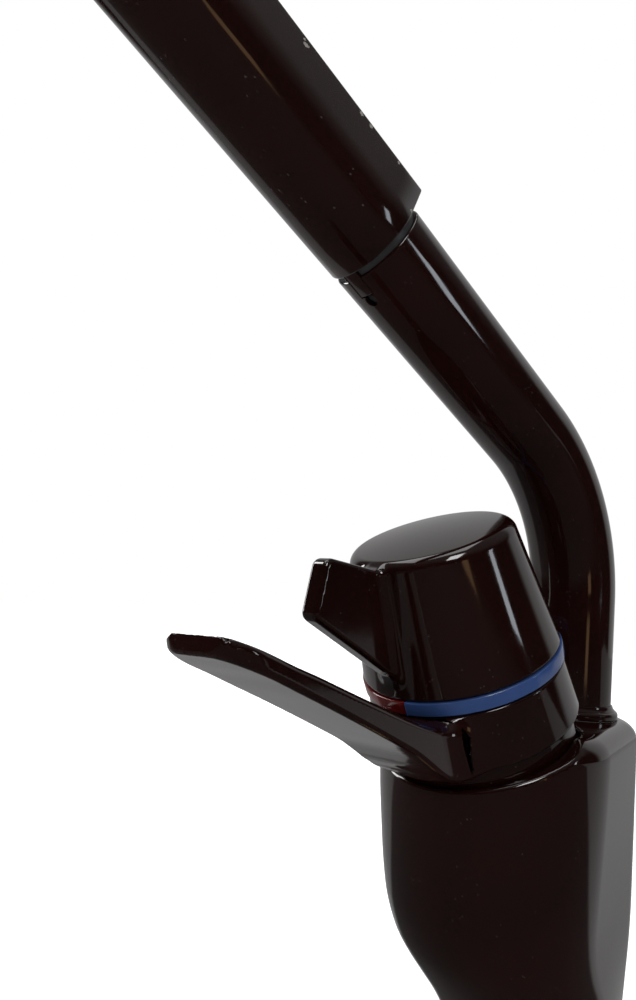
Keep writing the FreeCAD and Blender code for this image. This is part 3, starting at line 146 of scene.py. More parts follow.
def bare_mesh(bm, name):
    """What was shaped, as a mesh."""
    mesh = bpy.data.meshes.new(name)
    bm.to_mesh(mesh)
    bm.free()
    return mesh


def smoothed(mesh, sharp=40):
    """The mesh with smooth faces, and with hard lines where they turn by more than sharp."""
    mesh.polygons.foreach_set("use_smooth", [True] * len(mesh.polygons))
    mesh.set_sharp_from_angle(angle=math.radians(sharp))
    return mesh


def ring_section(inner, outer, low, high):
    """The four corners of a plain ring's section, as (reach, level) in mm."""
    return [(inner, low), (outer, low), (outer, high), (inner, high)]


def turned(outline, edge=0.0, steps=120, angle=360, place=None):
    """A closed outline of (reach, level) in mm turned about its upright axis, edges broken."""
    bm = bmesh.new()
    corners = [bm.verts.new((reach * MM, 0, level * MM)) for reach, level in outline]
    for first, second in zip(corners, corners[1:] + corners[:1]):
        bm.edges.new((first, second))
    if edge:
        bmesh.ops.bevel(bm, geom=corners, offset=edge * MM, offset_type="OFFSET", segments=3,
                        profile=0.5, affect="VERTICES", material=-1)
    bmesh.ops.spin(bm, geom=bm.verts[:] + bm.edges[:], cent=(0, 0, 0), axis=(0, 0, 1),
                   angle=math.radians(angle), steps=steps, use_merge=angle == 360)
    if angle != 360:
        # A part of a turn has two flat ends, whose edges are broken a little less
        bmesh.ops.holes_fill(bm, edges=[e for e in bm.edges if e.is_boundary], sides=0)
        ends = [f for f in bm.faces if len(f.verts) > 4]
        bmesh.ops.bevel(bm, geom=[e for f in ends for e in f.edges], offset=edge * 0.7 * MM,
                        offset_type="OFFSET", segments=2, profile=0.5, affect="EDGES",
                        material=-1, clamp_overlap=True)
    bmesh.ops.recalc_face_normals(bm, faces=bm.faces)
    if place:
        bmesh.ops.transform(bm, matrix=place, verts=bm.verts)
    return smoothed(bare_mesh(bm, "piece"))


black_rubber = finish("black_rubber", (0.022, 0.022, 0.023), (0.04, 0.039, 0.037), (0.5, 0.72),
                      size=1.6, grain=0.00003)
new_piece("gasket", turned(ring_section(GASKET_HOLE_R, GASKET_R, 0, GASKET_THICK), 0.25),
          "base_gasket", black_rubber)

# The shank is a brass tube with a fine thread cut on its outside. It screws into the foot and
# carries the clamp under the worktop: a rubber ring, a steel washer and a six-sided brass nut.
SHANK_R, SHANK_BORE_R, SHANK_LOW, SHANK_TOP = 16.0, 14.5, -62.0, 14.0
PITCH, THREAD_DEEP, CREST_OFF, CORE_R, PLAIN_R = 1.5, 0.9, 0.15, 15.3, 15.95
CLAMP_HOLE_R, CLAMP_R = 16.3, 26
CLAMP_TOP, CLAMP_WASHER, CLAMP_NUT, CLAMP_LOW = -40, -43, -45.5, -54.5
NUT_HALF, NUT_HOLE_R, FLAT_CUTS = 23, 16.03, 9
brass = finish("turned_brass", (0.62, 0.43, 0.17), (0.5, 0.33, 0.12), (0.2, 0.42), 1.0,
               stretch=(1, 1, 9), grain=0.000006)
steel = finish("plain_steel", (0.58, 0.57, 0.55), (0.46, 0.45, 0.44), (0.22, 0.45), 1.0,
               stretch=(1, 1, 4), grain=0.000006)


def threaded_shank():
    """The thread as a ridge spun upwards, around a plain core with a collar at its top."""
    bm = bmesh.new()
    ridge = [bm.verts.new((reach * MM, 0, (SHANK_LOW + 0.8 + level) * MM)) for reach, level in
             ((SHANK_R - THREAD_DEEP, 0), (SHANK_R - CREST_OFF, 0.6), (SHANK_R - CREST_OFF, 0.9),
              (SHANK_R - THREAD_DEEP, PITCH))]
    geometry = ridge + [bm.edges.new(pair) for pair in zip(ridge, ridge[1:])]
    turns, steps = int((SHANK_TOP - SHANK_LOW - 3) / PITCH), 48
    bmesh.ops.spin(bm, geom=geometry, cent=(0, 0, 0), axis=(0, 0, 1), steps=turns * steps,
                   angle=turns * 2 * math.pi, dvec=(0, 0, PITCH * MM / steps))
    core = [bm.verts.new((reach * MM, 0, level * MM)) for reach, level in
            ((SHANK_BORE_R, SHANK_LOW), (CORE_R, SHANK_LOW), (15.75, SHANK_LOW + 0.5),
             (CORE_R, SHANK_LOW + 1.2), (CORE_R, SHANK_TOP - 1.2), (PLAIN_R, SHANK_TOP - 0.8),
             (PLAIN_R, SHANK_TOP), (SHANK_BORE_R, SHANK_TOP))]
    edges = [bm.edges.new(pair) for pair in zip(core, core[1:] + core[:1])]
    bmesh.ops.spin(bm, geom=core + edges, cent=(0, 0, 0), axis=(0, 0, 1), steps=96,
                   angle=2 * math.pi, use_merge=True)
    bmesh.ops.remove_doubles(bm, verts=bm.verts, dist=1e-7)
    bmesh.ops.recalc_face_normals(bm, faces=bm.faces)
    return smoothed(bare_mesh(bm, "piece"), 25)


new_piece("shank", threaded_shank(), "mounting_shank", brass)
new_piece("clamp_seal", turned(ring_section(CLAMP_HOLE_R, CLAMP_R, CLAMP_WASHER, CLAMP_TOP), 0.5),
          "clamp_gasket", black_rubber)
new_piece("washer", turned(ring_section(CLAMP_HOLE_R, CLAMP_R, CLAMP_NUT, CLAMP_WASHER), 0.3),
          "clamp_washer", steel)


def hexagon_nut():
    bm = bmesh.new()
    made = bmesh.ops.create_circle(bm, cap_ends=False, segments=6,
                                   radius=NUT_HALF / math.cos(math.pi / 6) * MM)
    outer = list({edge for vert in made["verts"] for edge in vert.link_edges})
    # Each flat is cut into ten, so that the outside meets the round hole face by face
    bmesh.ops.subdivide_edges(bm, edges=outer, cuts=FLAT_CUTS)
    outer = bm.edges[:]
    made = bmesh.ops.create_circle(bm, cap_ends=False, segments=6 * (FLAT_CUTS + 1),
                                   radius=NUT_HOLE_R * MM)
    inner = list({edge for vert in made["verts"] for edge in vert.link_edges})
    bmesh.ops.bridge_loops(bm, edges=outer + inner)
    bmesh.ops.translate(bm, vec=(0, 0, CLAMP_LOW * MM), verts=bm.verts)
    made = bmesh.ops.extrude_face_region(bm, geom=bm.faces[:], use_keep_orig=True)
    bmesh.ops.translate(bm, vec=(0, 0, (CLAMP_NUT - CLAMP_LOW) * MM),
                        verts=[v for v in made["geom"] if isinstance(v, bmesh.types.BMVert)])
    bmesh.ops.recalc_face_normals(bm, faces=bm.faces)
    rims = [e for e in bm.edges if len(e.link_faces) == 2 and e.calc_face_angle() > 0.8]
    bmesh.ops.bevel(bm, geom=rims, offset=0.5 * MM, offset_type="OFFSET", segments=2,
                    profile=0.5, affect="EDGES", material=-1)
    return smoothed(bare_mesh(bm, "piece"), 30)


new_piece("nut", hexagon_nut(), "mounting_nut", brass)

# The casting is one hollow piece of brass with a dark brown baked enamel. Its foot stands on
# the worktop, the leaning cup at the front takes the valve and the rear carries the spout.
# Pattern makers round every inner and outer corner, so its faces run into each other.
nodes = frame["nodes"]
VALVE_AT = np.array([0.0, -40.0, 130.0])
VALVE_LEAN = math.radians(26)
SPOUT_BACK = 9.77
SHOULDER, SHOULDER_ROUND, FOOT_LOW = 115.6, 5, 2
# Radii and levels along the leaning valve: the cup, its neck and the seat of the cartridge
CUP_R, CUP_FLOOR, CUP_RIM = 25.7, -28, -19.4
NECK_R, NECK_LOW, NECK_TOP = 22.8, -31, -6
SEAT_R, SEAT_LOW, NUT_SEAT_R, NUT_SEAT_LOW = 18.8, -36.5, 20.5, -15.4
# Upright ones: the spout's socket, the way of the hose, the room in the foot and its thread
SOCKET_R, SOCKET_DEEP, HOSE_WAY_R, HOSE_WAY_LOW = 13.61, 27, 7.5, 40
ROOM_R, ROOM_LOW, ROOM_TOP, SHANK_HOLE_R, SHANK_HOLE_TOP = 19.5, 14, 46, 16.03, 20
enamel = finish("brown_enamel", (0.0108, 0.0027, 0.002), (0.0056, 0.0014, 0.001), (0.05, 0.11),
                size=0.8, grain=0.000004, dust=0.25)
# Level above the worktop, centre and radius of the front round, the same of the rear round
CASTING_PLANS = np.array([
    (-5, 0, 24, 5.52, 19.92), (30, -0.4, 24, 5.7, 19.92), (44, -9, 25.5, 7.4, 20),
    (52, -16, 26.8, 8.7, 20), (62, -21.6, 27.7, 9.77, 20), (73, -23.3, 28.8, 9.77, 20),
    (98, -25, 30.6, 9.77, 20), (109, -25, 30.8, 9.77, 20), (130, -25, 30.8, 9.77, 20)])


def valve_local(points, turn=0.0):
    """Points in mm as (across, back, up) along the leaning valve axis, turned about it."""
    across, back, up = (points - VALVE_AT).T
    c, s = math.cos(VALVE_LEAN), math.sin(VALVE_LEAN)
    back, up = back * c + up * s, up * c - back * s
    c, s = math.cos(math.radians(turn)), math.sin(math.radians(turn))
    return across * c + back * s, back * c - across * s, up


def join(first, second, radius):
    """Two forms as one, with a hollow rounding where they meet."""
    a, b = np.maximum(radius - first, 0), np.maximum(radius - second, 0)
    return np.maximum(radius, np.minimum(first, second)) - np.hypot(a, b)


def trim(first, second, radius):
    """What both forms share, with a rounded edge where they meet."""
    a, b = np.maximum(radius + first, 0), np.maximum(radius + second, 0)
    return np.minimum(-radius, np.maximum(first, second)) + np.hypot(a, b)


def pill(across, back, front_y, front_r, rear_y, rear_r):
    """Distance to a plan of two rounds joined by tangents."""
    across, run = np.abs(across), rear_y - front_y
    slant = (front_r - rear_r) / run
    level = np.sqrt(1 - slant ** 2)
    y = back - front_y
    along = -slant * across + level * y
    on_side = level * across + slant * y - front_r
    on_front = np.hypot(across, y) - front_r
    on_rear = np.hypot(across, y - run) - rear_r
    return np.where(along < 0, on_front, np.where(along > level * run, on_rear, on_side))


def as_modified(obj):
    """The object's mesh with its modifiers applied. The object itself goes."""
    bpy.context.view_layer.update()
    graph = bpy.context.evaluated_depsgraph_get()
    mesh = bpy.data.meshes.new_from_object(obj.evaluated_get(graph))
    bpy.data.objects.remove(obj)
    return mesh


def cast(node, grain, form, reach=1.4, rounds=8, step=0.01, longest=0.5):
    """A CAD piece cut in even small faces, which are then drawn onto the rounded form.

    The form gives each point's signed distance from its surface in mm. Points that start
    further from it than the reach stay where they are.
    """
    bm = bmesh.new()
    bm.from_mesh(nodes[node].data)
    bmesh.ops.remove_doubles(bm, verts=bm.verts, dist=1e-6)
    rough = stood(node, bare_mesh(bm, node))
    remesh = rough.modifiers.new("even", "REMESH")
    remesh.mode, remesh.voxel_size = "VOXEL", grain * MM
    mesh = as_modified(rough)
    points = np.empty(len(mesh.vertices) * 3)
    mesh.vertices.foreach_get("co", points)
    points = points.reshape(-1, 3) / MM
    near = np.abs(form(points)) < reach
    for done in range(rounds + 1):
        here = form(points)
        slope = np.stack([(form(points + step * way) - here) / step for way in np.eye(3)], 1)
        size = np.maximum((slope ** 2).sum(1), 0.2)
        if done < rounds:
            move = np.where(near, np.clip(here / size, -longest, longest), 0)
            points = points - slope * move[:, None]
    mesh.vertices.foreach_set("co", (points * MM).ravel())
    mesh.polygons.foreach_set("use_smooth", [True] * len(mesh.polygons))
    mesh.update()
    plain = np.empty(len(mesh.vertices) * 3)
    mesh.vertex_normals.foreach_get("vector", plain)
    drawn = slope / np.sqrt(size)[:, None]
    normals = np.where(near[:, None], drawn, plain.reshape(-1, 3))
    mesh.normals_split_custom_set_from_vertices(normals.tolist())
    return mesh


def casting_form(points):
    """The outside from its plans, then the cup, the neck in it and all that is hollow."""
    x, y, z = points.T
    # The plans are averaged over 12 mm of height, so that they run into each other
    softened = [z + shift for shift in (-6, -4, -2, 0, 2, 4, 6)]
    sizes = [sum(np.interp(level, CASTING_PLANS[:, 0], CASTING_PLANS[:, k]) for level in softened)
             / len(softened) for k in range(1, 5)]
    outside = pill(x, y, *sizes)
    outside = trim(outside, z - SHOULDER, SHOULDER_ROUND)
    outside = trim(outside, FOOT_LOW - z, 0.8)
    across, back, up = valve_local(points)
    reach = np.hypot(across, back)
    cup = np.maximum(reach - CUP_R, CUP_FLOOR - up)
    outside = trim(outside, up - CUP_RIM, 0.7)
    outside = trim(outside, -cup, 0.55)
    neck = trim(reach - NECK_R, up - NECK_TOP, 0.5)
    neck = np.maximum(neck, NECK_LOW - up)
    outside = join(outside, neck, 0.4)
    seat = np.minimum(np.maximum(reach - SEAT_R, SEAT_LOW - up),
                      np.maximum(reach - NUT_SEAT_R, NUT_SEAT_LOW - up))
    outside = trim(outside, -seat, 0.4)
    spout = np.hypot(x, y - SPOUT_BACK)
    socket = np.minimum(np.maximum(spout - SOCKET_R, SHOULDER - SOCKET_DEEP - z),
                        np.maximum(spout - HOSE_WAY_R, HOSE_WAY_LOW - z))
    outside = trim(outside, -socket, 0.4)
    middle = np.hypot(x, y)
    room = np.maximum(np.maximum(middle - ROOM_R, z - ROOM_TOP), ROOM_LOW - z)
    below = np.minimum(np.maximum(middle - SHANK_HOLE_R, z - SHANK_HOLE_TOP), room)
    return trim(outside, -below, 0.4)


new_piece("casting", cast("body_casting", grain=0.84, form=casting_form), "body_casting",
          enamel)

# The valve cartridge stands in the cup: a white ported base on three sealing rings, a white
# housing, three lapped ceramic discs and a brass nut. All of it is moulded, sintered or turned.
# The hidden pieces of the other groups get the same finishes here.
white_plastic = finish("white_plastic", (0.72, 0.71, 0.67), (0.66, 0.64, 0.59), (0.34, 0.5),
                       grain=0.000008)
ceramic = finish("lapped_ceramic", (0.74, 0.71, 0.62), (0.7, 0.66, 0.56), (0.14, 0.22),
                 grain=0.000002, dust=0.1)
black_plastic = finish("black_plastic", (0.024, 0.024, 0.026), (0.032, 0.032, 0.033), (0.32, 0.5),
                       grain=0.000014)


def dressed(material, *names):
    """CAD pieces hidden inside, which keep their own shape and get a real surface."""
    for name in names:
        nodes[name].data.materials.clear()
        nodes[name].data.materials.append(material)


dressed(black_rubber, "inlet_o_rings", "driver_o_ring", "spindle_o_ring", "spout_o_rings",
        "aerator_seal")
dressed(white_plastic, "valve_base", "cartridge_housing", "lever_bush", "spout_bush_lower",
        "spout_bush_upper", "slide_washer", "water_tube", "check_valve")
dressed(ceramic, "fixed_disc", "flow_disc", "temperature_disc")
dressed(brass, "cartridge_nut", "flow_driver", "flow_sleeve", "temperature_spindle",
        "knob_insert", "hose_connector")
dressed(steel, "lever_screw", "knob_screw", "spout_lock_screw", "nose_screw", "inlet_filter")
dressed(black_plastic, "index_carrier", "mouth_liner", "docking_sleeve")

# The shroud is a turned brass sleeve over the neck of the casting, enamelled on the outside.
# The lever ring turns on its narrow upper part and the coloured ring closes it at the top.
LEANING = Matrix.Translation(VALVE_AT * MM) @ Matrix.Rotation(VALVE_LEAN, 4, "X")
SHROUD = [(23.1, -27.7), (25, -27.7), (25, -15), (24.2, -15), (24.2, 0), (23.1, 0)]
new_piece("shroud", turned(SHROUD, 0.3, place=LEANING), "valve_shroud", enamel)

# The index ring shows the warm and the cold side: two half rings of enamelled metal, red on
# the left and blue on the right, pressed into a black carrier.
INDEX_TURN, INDEX_GAP = 9.4, 0.6
INDEX_INNER_R, INDEX_R, INDEX_TALL = 24.5, 26.6, 3.35
red = finish("red_enamel", (0.1, 0.004, 0.004), (0.06, 0.003, 0.003), (0.1, 0.2), size=1.4,
             grain=0.000004)
blue = finish("blue_enamel", (0.032, 0.068, 0.19), (0.022, 0.045, 0.135), (0.1, 0.2), size=1.4,
              grain=0.000004)
for side, node, colour, material in ((90, "hot_index", "red_enamel", red),
                                     (-90, "cold_index", "blue_enamel", blue)):
    at = LEANING @ Matrix.Rotation(math.radians(INDEX_TURN + side + INDEX_GAP / 2), 4, "Z")
    half = turned(ring_section(INDEX_INNER_R, INDEX_R, 0, INDEX_TALL), 0.28, steps=90,
                  angle=180 - INDEX_GAP, place=at)
    new_piece(colour + "_half", half, node, material)

# The lever ring is a short cone that turns on the shroud. A long paddle grows out of its
# front, flat and thin, which is cast in one with the ring and enamelled with it.
LEVER_TURN = 9.4
RING_R, RING_BORE_R, RING_TOP, RING_TALL, RING_LEAN = 26.1, 24.79, -0.4, 14.2, 1.1
# The paddle stays clear of the index ring above it, and its plan ends in a round
CLEAR_R = 27.2
PADDLE_HALF, PADDLE_END, PADDLE_ROUND = 11.75, 79, 8


def outline_distance(across, up, corners):
    """Signed distance to a closed outline of straight edges."""
    nearest = np.full(across.shape, 1e9)
    inside = np.zeros(across.shape, bool)
    for (ax, ay), (bx, by) in zip(corners, corners[1:] + corners[:1]):
        ex, ey = bx - ax, by - ay
        share = np.clip(((across - ax) * ex + (up - ay) * ey) / (ex * ex + ey * ey), 0, 1)
        nearest = np.minimum(nearest, np.hypot(across - ax - share * ex, up - ay - share * ey))
        crosses = (ay > up) != (by > up)
        meets = ax + (up - ay) * ex / (ey if ey else 1e-9)
        inside ^= crosses & (across < meets)
    return np.where(inside, -nearest, nearest)


def bowed(points, count):
    """A smooth line through a few points, as more points."""
    points = np.array(points, float)
    ends = np.vstack([2 * points[0] - points[1], points, 2 * points[-1] - points[-2]])
    out = []
    for mark in np.linspace(0, len(points) - 1, count):
        k = min(int(mark), len(points) - 2)
        share, (a, b, c, d) = mark - k, ends[k:k + 4]
        out.append(tuple(0.5 * (2 * b + (c - a) * share + (2 * a - 5 * b + 4 * c - d) * share ** 2
                                + (3 * b - a - 3 * c + d) * share ** 3)))
    return out


PADDLE_TOP = [(20, -8.2), (26.4, -2.8), (36.3, 5.5), (49.9, 18.7), (59.5, 28.3), (64.6, 33.2),
              (69.5, 38.2), (73.5, 42.0), (76.3, 44.6)]
PADDLE_UNDER = [(78.3, 41.5), (76.4, 39.6), (73.5, 36.6), (69.5, 32.5), (64.6, 27.2),
                (58.2, 20.3), (50.7, 12.0), (45.2, 5.8), (40.2, 0), (36.6, -5), (33.2, -9.9),
                (29.0, -13.9), (20, -13.9)]
PADDLE = bowed(PADDLE_TOP, 40) + bowed(PADDLE_UNDER, 48)
# A reach in mm that lets every point of a piece be drawn onto its form
EVERYWHERE = 99


def lever_form(points):
    """The cone of the ring, with the paddle's side outline cut by its plan."""
    across, back, up = valve_local(points, LEVER_TURN)
    reach = np.hypot(across, back)
    slant = math.hypot(RING_TALL, RING_LEAN)
    ring = ((reach - RING_R) * RING_TALL + (up - RING_TOP) * RING_LEAN) / slant
    ring = trim(ring, np.abs(up - (RING_TOP - RING_TALL / 2)) - RING_TALL / 2, 0.7)
    side = outline_distance(-back, up, PADDLE)
    wide = np.abs(across) - (PADDLE_HALF - PADDLE_ROUND)
    far = -back - (PADDLE_END - PADDLE_ROUND)
    plan = np.hypot(np.maximum(wide, 0), np.maximum(far, 0)) + np.minimum(np.maximum(wide, far), 0)
    paddle = trim(side, plan - PADDLE_ROUND, 1.3)
    whole = join(ring, paddle, 6.5)
    above = np.maximum(RING_TOP - up, reach - CLEAR_R)
    whole = trim(whole, -above, 0.5)
    return trim(whole, RING_BORE_R - reach, 0.3)


new_piece("lever", cast("flow_lever", grain=0.43, form=lever_form, reach=EVERYWHERE),
          "flow_lever", enamel)

# The knob sits on the splined spindle above the index ring. It is cast hollow and enamelled,
# with a fin that points along the setting, and a small screw holds it on a brass insert.
KNOB_TURN = 2.0
KNOB_R, KNOB_LOW, KNOB_TOP, KNOB_ROUND, DOME_R = 26.3, 3.7, 38.0, 2.3, 180.0
# The outside leans inwards by 4.7 mm over a height of 33 mm, and so does the inside
KNOB_TALL, KNOB_LEAN = 33.0, 4.7
KNOB_HOLLOW_R, KNOB_ROOF, POST_R, POST_LOW = 23.4, 33.8, 9.0, 9.5
INSERT_R, INSERT_TOP, SCREW_HOLE_R, SCREW_LEVEL = 6.06, 24.8, 2.03, 14
FIN_HALF, FIN_ROUND = 2.8, 2.4
FIN = [(36.2, 44.5), (14, 30.5), (14, -2), (26.3, 9.3), (44.4, 33.0)]


def shrunk(corners, by):
    """The outline moved inwards by a distance."""
    out = []
    for k in range(len(corners)):
        before, here, after = (np.array(corners[(k + j) % len(corners)], float)
                               for j in (-1, 0, 1))
        ahead, behind = (after - here), (here - before)
        ahead, behind = ahead / np.linalg.norm(ahead), behind / np.linalg.norm(behind)
        on_behind, on_ahead = np.array([-behind[1], behind[0]]), np.array([-ahead[1], ahead[0]])
        middle = on_behind + on_ahead
        out.append(tuple(here + middle * by / (middle @ on_ahead)))
    return out


def knob_form(points):
    """The domed cone with its fin, less the hollow around its post and the screw's hole."""
    across, back, up = valve_local(points, KNOB_TURN)
    reach = np.hypot(across, back)
    slant = math.hypot(KNOB_TALL, KNOB_LEAN)
    side = ((reach - KNOB_R) * KNOB_TALL + (up - KNOB_LOW) * KNOB_LEAN) / slant
    dome = np.hypot(reach, up - KNOB_TOP + DOME_R) - DOME_R
    whole = trim(side, dome, KNOB_ROUND)
    whole = trim(whole, KNOB_LOW - up, 0.5)
    fin = outline_distance(-back, up, shrunk(FIN, FIN_ROUND)) - FIN_ROUND
    fin = trim(fin, np.abs(across) - FIN_HALF, 1.2)
    whole = join(whole, fin, 2.4)
    inner = ((reach - KNOB_HOLLOW_R) * KNOB_TALL + (up - KNOB_LOW) * KNOB_LEAN) / slant
    inner = np.maximum(inner, up - KNOB_ROOF)
    post = np.maximum(reach - POST_R, POST_LOW - up)
    room = np.maximum(inner, -post)
    room = np.minimum(room, np.maximum(reach - INSERT_R, up - INSERT_TOP))
    hole = np.maximum(np.hypot(across, up - SCREW_LEVEL) - SCREW_HOLE_R, -back)
    return trim(trim(whole, -room, 0.4), -hole, 0.3)


new_piece("knob", cast("temperature_knob", grain=0.5, form=knob_form, reach=EVERYWHERE),
          "temperature_knob", enamel)

# The spout is a drawn brass tube, bent forwards over a mandrel and enamelled. It stands in two
# bushes in the casting, so it swivels. Its mouth has a slot for the key of the handset.
SLOPE = math.radians(28.17)
TUBE_R, TUBE_WALL, TUBE_LOW = 12.5, 1.5, 88.9
BEND_R, BEND_START = 53.97, 150.6
ARM_LONG, HANDSET_ON = 72.3, 74
# The slot's middle and its round end, measured along the handset's axis from the joint
SLOT_WIDE, SLOT_LONG, SLOT_MIDDLE = 4.6, 9, -2.5
SLOT_END_R, SLOT_END = 1.65, -8.4
ALONG = Vector((0, -math.cos(SLOPE), math.sin(SLOPE)))
BEND_END = Vector((0, SPOUT_BACK - BEND_R * (1 - math.sin(SLOPE)),
                   BEND_START + BEND_R * math.cos(SLOPE))) * MM
HANDSET = Matrix.Translation(BEND_END + ALONG * HANDSET_ON * MM) @ Matrix.Rotation(
    math.pi / 2 - SLOPE, 4, "X")


def spout_line(point):
    """The nearest point of the tube's middle line, in metres."""
    along = (point - BEND_END).dot(ALONG)
    if along > 0:
        return BEND_END + ALONG * along
    if point.z < BEND_START * MM:
        return Vector((0, SPOUT_BACK * MM, point.z))
    middle = Vector((0, (SPOUT_BACK - BEND_R) * MM, BEND_START * MM))
    away = Vector((0, point.y - middle.y, point.z - middle.z)).normalized()
    return middle + away * BEND_R * MM


def drawn_on(bm, rim, move):
    """A straight length added at the open rim of the tube, and its new rim."""
    made = bmesh.ops.extrude_edge_only(bm, edges=rim)
    ends = {v for v in made["geom"] if isinstance(v, bmesh.types.BMVert)}
    bmesh.ops.translate(bm, vec=move, verts=list(ends))
    return [e for e in bm.edges if e.is_boundary and all(v in ends for v in e.verts)]


def bent_tube():
    """The upright length, the bend and the arm, then the wall and its broken edges."""
    bm = bmesh.new()
    bmesh.ops.create_circle(bm, cap_ends=False, radius=TUBE_R * MM, segments=112,
                            matrix=Matrix.Translation((0, SPOUT_BACK * MM, TUBE_LOW * MM)))
    rim = drawn_on(bm, bm.edges[:], (0, 0, (BEND_START - TUBE_LOW) * MM))
    made = bmesh.ops.spin(bm, geom=rim + list({v for e in rim for v in e.verts}),
                          cent=(0, (SPOUT_BACK - BEND_R) * MM, BEND_START * MM),
                          axis=(1, 0, 0), angle=math.pi / 2 - SLOPE, steps=56)
    bent = {e for e in made["geom_last"] if isinstance(e, bmesh.types.BMEdge)}
    drawn_on(bm, [e for e in bm.edges if e.is_boundary and e in bent], ALONG * ARM_LONG * MM)
    bmesh.ops.recalc_face_normals(bm, faces=bm.faces)
    bmesh.ops.solidify(bm, geom=bm.faces[:], thickness=TUBE_WALL * MM)
    bmesh.ops.recalc_face_normals(bm, faces=bm.faces)
    rims = [e for e in bm.edges if len(e.link_faces) == 2 and e.calc_face_angle() > 1]
    bmesh.ops.bevel(bm, geom=rims, offset=0.5 * MM, offset_type="OFFSET", segments=3,
                    profile=0.5, affect="EDGES", material=-1)
    return bare_mesh(bm, "tube")


def slot_cutter(shape):
    """What is milled out of the tube's mouth: the slot, then its round end."""
    bm = bmesh.new()
    through, under = 8, -12
    if shape == "slot":
        bmesh.ops.create_cube(bm, size=1)
        bmesh.ops.scale(bm, vec=(SLOT_WIDE * MM, through * MM, SLOT_LONG * MM), verts=bm.verts)
        bmesh.ops.translate(bm, vec=(0, under * MM, SLOT_MIDDLE * MM), verts=bm.verts)
    else:
        bmesh.ops.create_cone(bm, cap_ends=True, segments=40, radius1=SLOT_END_R * MM,
                              radius2=SLOT_END_R * MM, depth=through * MM,
                              matrix=Matrix.Rotation(math.pi / 2, 4, "X"))
        bmesh.ops.translate(bm, vec=(0, under * MM, SLOT_END * MM), verts=bm.verts)
    bmesh.ops.transform(bm, matrix=HANDSET, verts=bm.verts)
    return stood(shape, bare_mesh(bm, shape))


def slotted_tube():
    """The tube with its slot cut, shaded as the true round that its faces stand for."""
    raw = stood("raw_tube", bent_tube())
    cutters = [slot_cutter("slot"), slot_cutter("hole")]
    for cutter in cutters:
        cut = raw.modifiers.new("cut", "BOOLEAN")
        cut.operation, cut.solver, cut.object = "DIFFERENCE", "EXACT", cutter
    broken = raw.modifiers.new("broken", "BEVEL")
    broken.width, broken.segments, broken.limit_method = 0.16 * MM, 2, "ANGLE"
    broken.angle_limit = math.radians(50)
    mesh = smoothed(as_modified(raw))
    for cutter in cutters:
        bpy.data.objects.remove(cutter)
    normals = [corner.vector.copy() for corner in mesh.corner_normals]
    for face in mesh.polygons:
        for corner in face.loop_indices:
            point = mesh.vertices[mesh.loops[corner].vertex_index].co
            away = (point - spout_line(point)).normalized()
            outwards = face.normal.dot(away)
            # Only the faces that lie on the round itself, inside or outside
            if abs(outwards) > 0.985:
                normals[corner] = away * (1 if outwards > 0 else -1)
    mesh.normals_split_custom_set(normals)
    return mesh


new_piece("tube", slotted_tube(), "spout_tube", enamel)

# The collar hides the joint between tube and casting. It is a turned and enamelled ring: one
# round bead with a thin skirt, then a hollow flare up to the tube with a fine line at its top.
COLLAR = [(12.56, 116.0), (14.24, 116.0), (14.24, 115.7), (14.42, 115.7), (14.5, 116.1),
          (14.5, 116.85), (14.46, 117.35), (14.25, 117.75), (13.9, 118.0), (13.72, 118.1),
          (13.72, 118.2), (13.45, 118.45), (13.2, 118.75), (13.05, 119.1), (13.0, 119.45),
          (12.9, 119.6), (12.56, 119.6)]
around_tube = Matrix.Translation((0, SPOUT_BACK * MM, 0))
new_piece("collar", turned(COLLAR, 0.03, place=around_tube), "spout_collar", enamel)

# The handset's shell is a drawn enamelled tube, round below and flat on top, that tapers
# towards the nose. Its key drops into the slot of the spout's mouth. Knocks have chipped the
# enamel along its upper edge and at its lower rim, down to the pale ground coat.
SHELL_R, SHELL_LONG, HANDSET_LONG = 12.75, 116, 150
TOP_RISE, TOP_TAPER, TOP_HALF = 14.15, 4.1, 9.75
EDGE_TURN = math.radians(13.3)
SLEEVE_BORE_R, SLEEVE_DEEP, NOSE_BORE_R, MOUTH_R = 11, 19, 9.6, 11.3
KEY_INNER_R, KEY_R, KEY_LOW, KEY_TOP, KEY_HALF = 11.4, 12.5, -6.8, 0.5, 2.1
# Each chip's place across, above and along the handset's axis, and its size
CHIPS = [(10.6, 10.6, 41, 1.5), (10.4, 11.6, 42, 1.0), (10.2, 12.3, 23, 1.3),
         (10.2, 12.4, 19.5, 1.1), (10.2, 12.7, 9, 0.9), (12.4, 4.1, 0.6, 1.1),
         (-10.3, 12.0, 31, 1.0)]
GROUND_COAT = (0.22, 0.21, 0.19, 1)
worn = finish("worn_enamel", (0.0112, 0.0032, 0.0025), (0.0058, 0.0016, 0.0012), (0.055, 0.12),
              size=0.9, stretch=(1, 0.45, 0.75), grain=0.000004, dust=0.3)


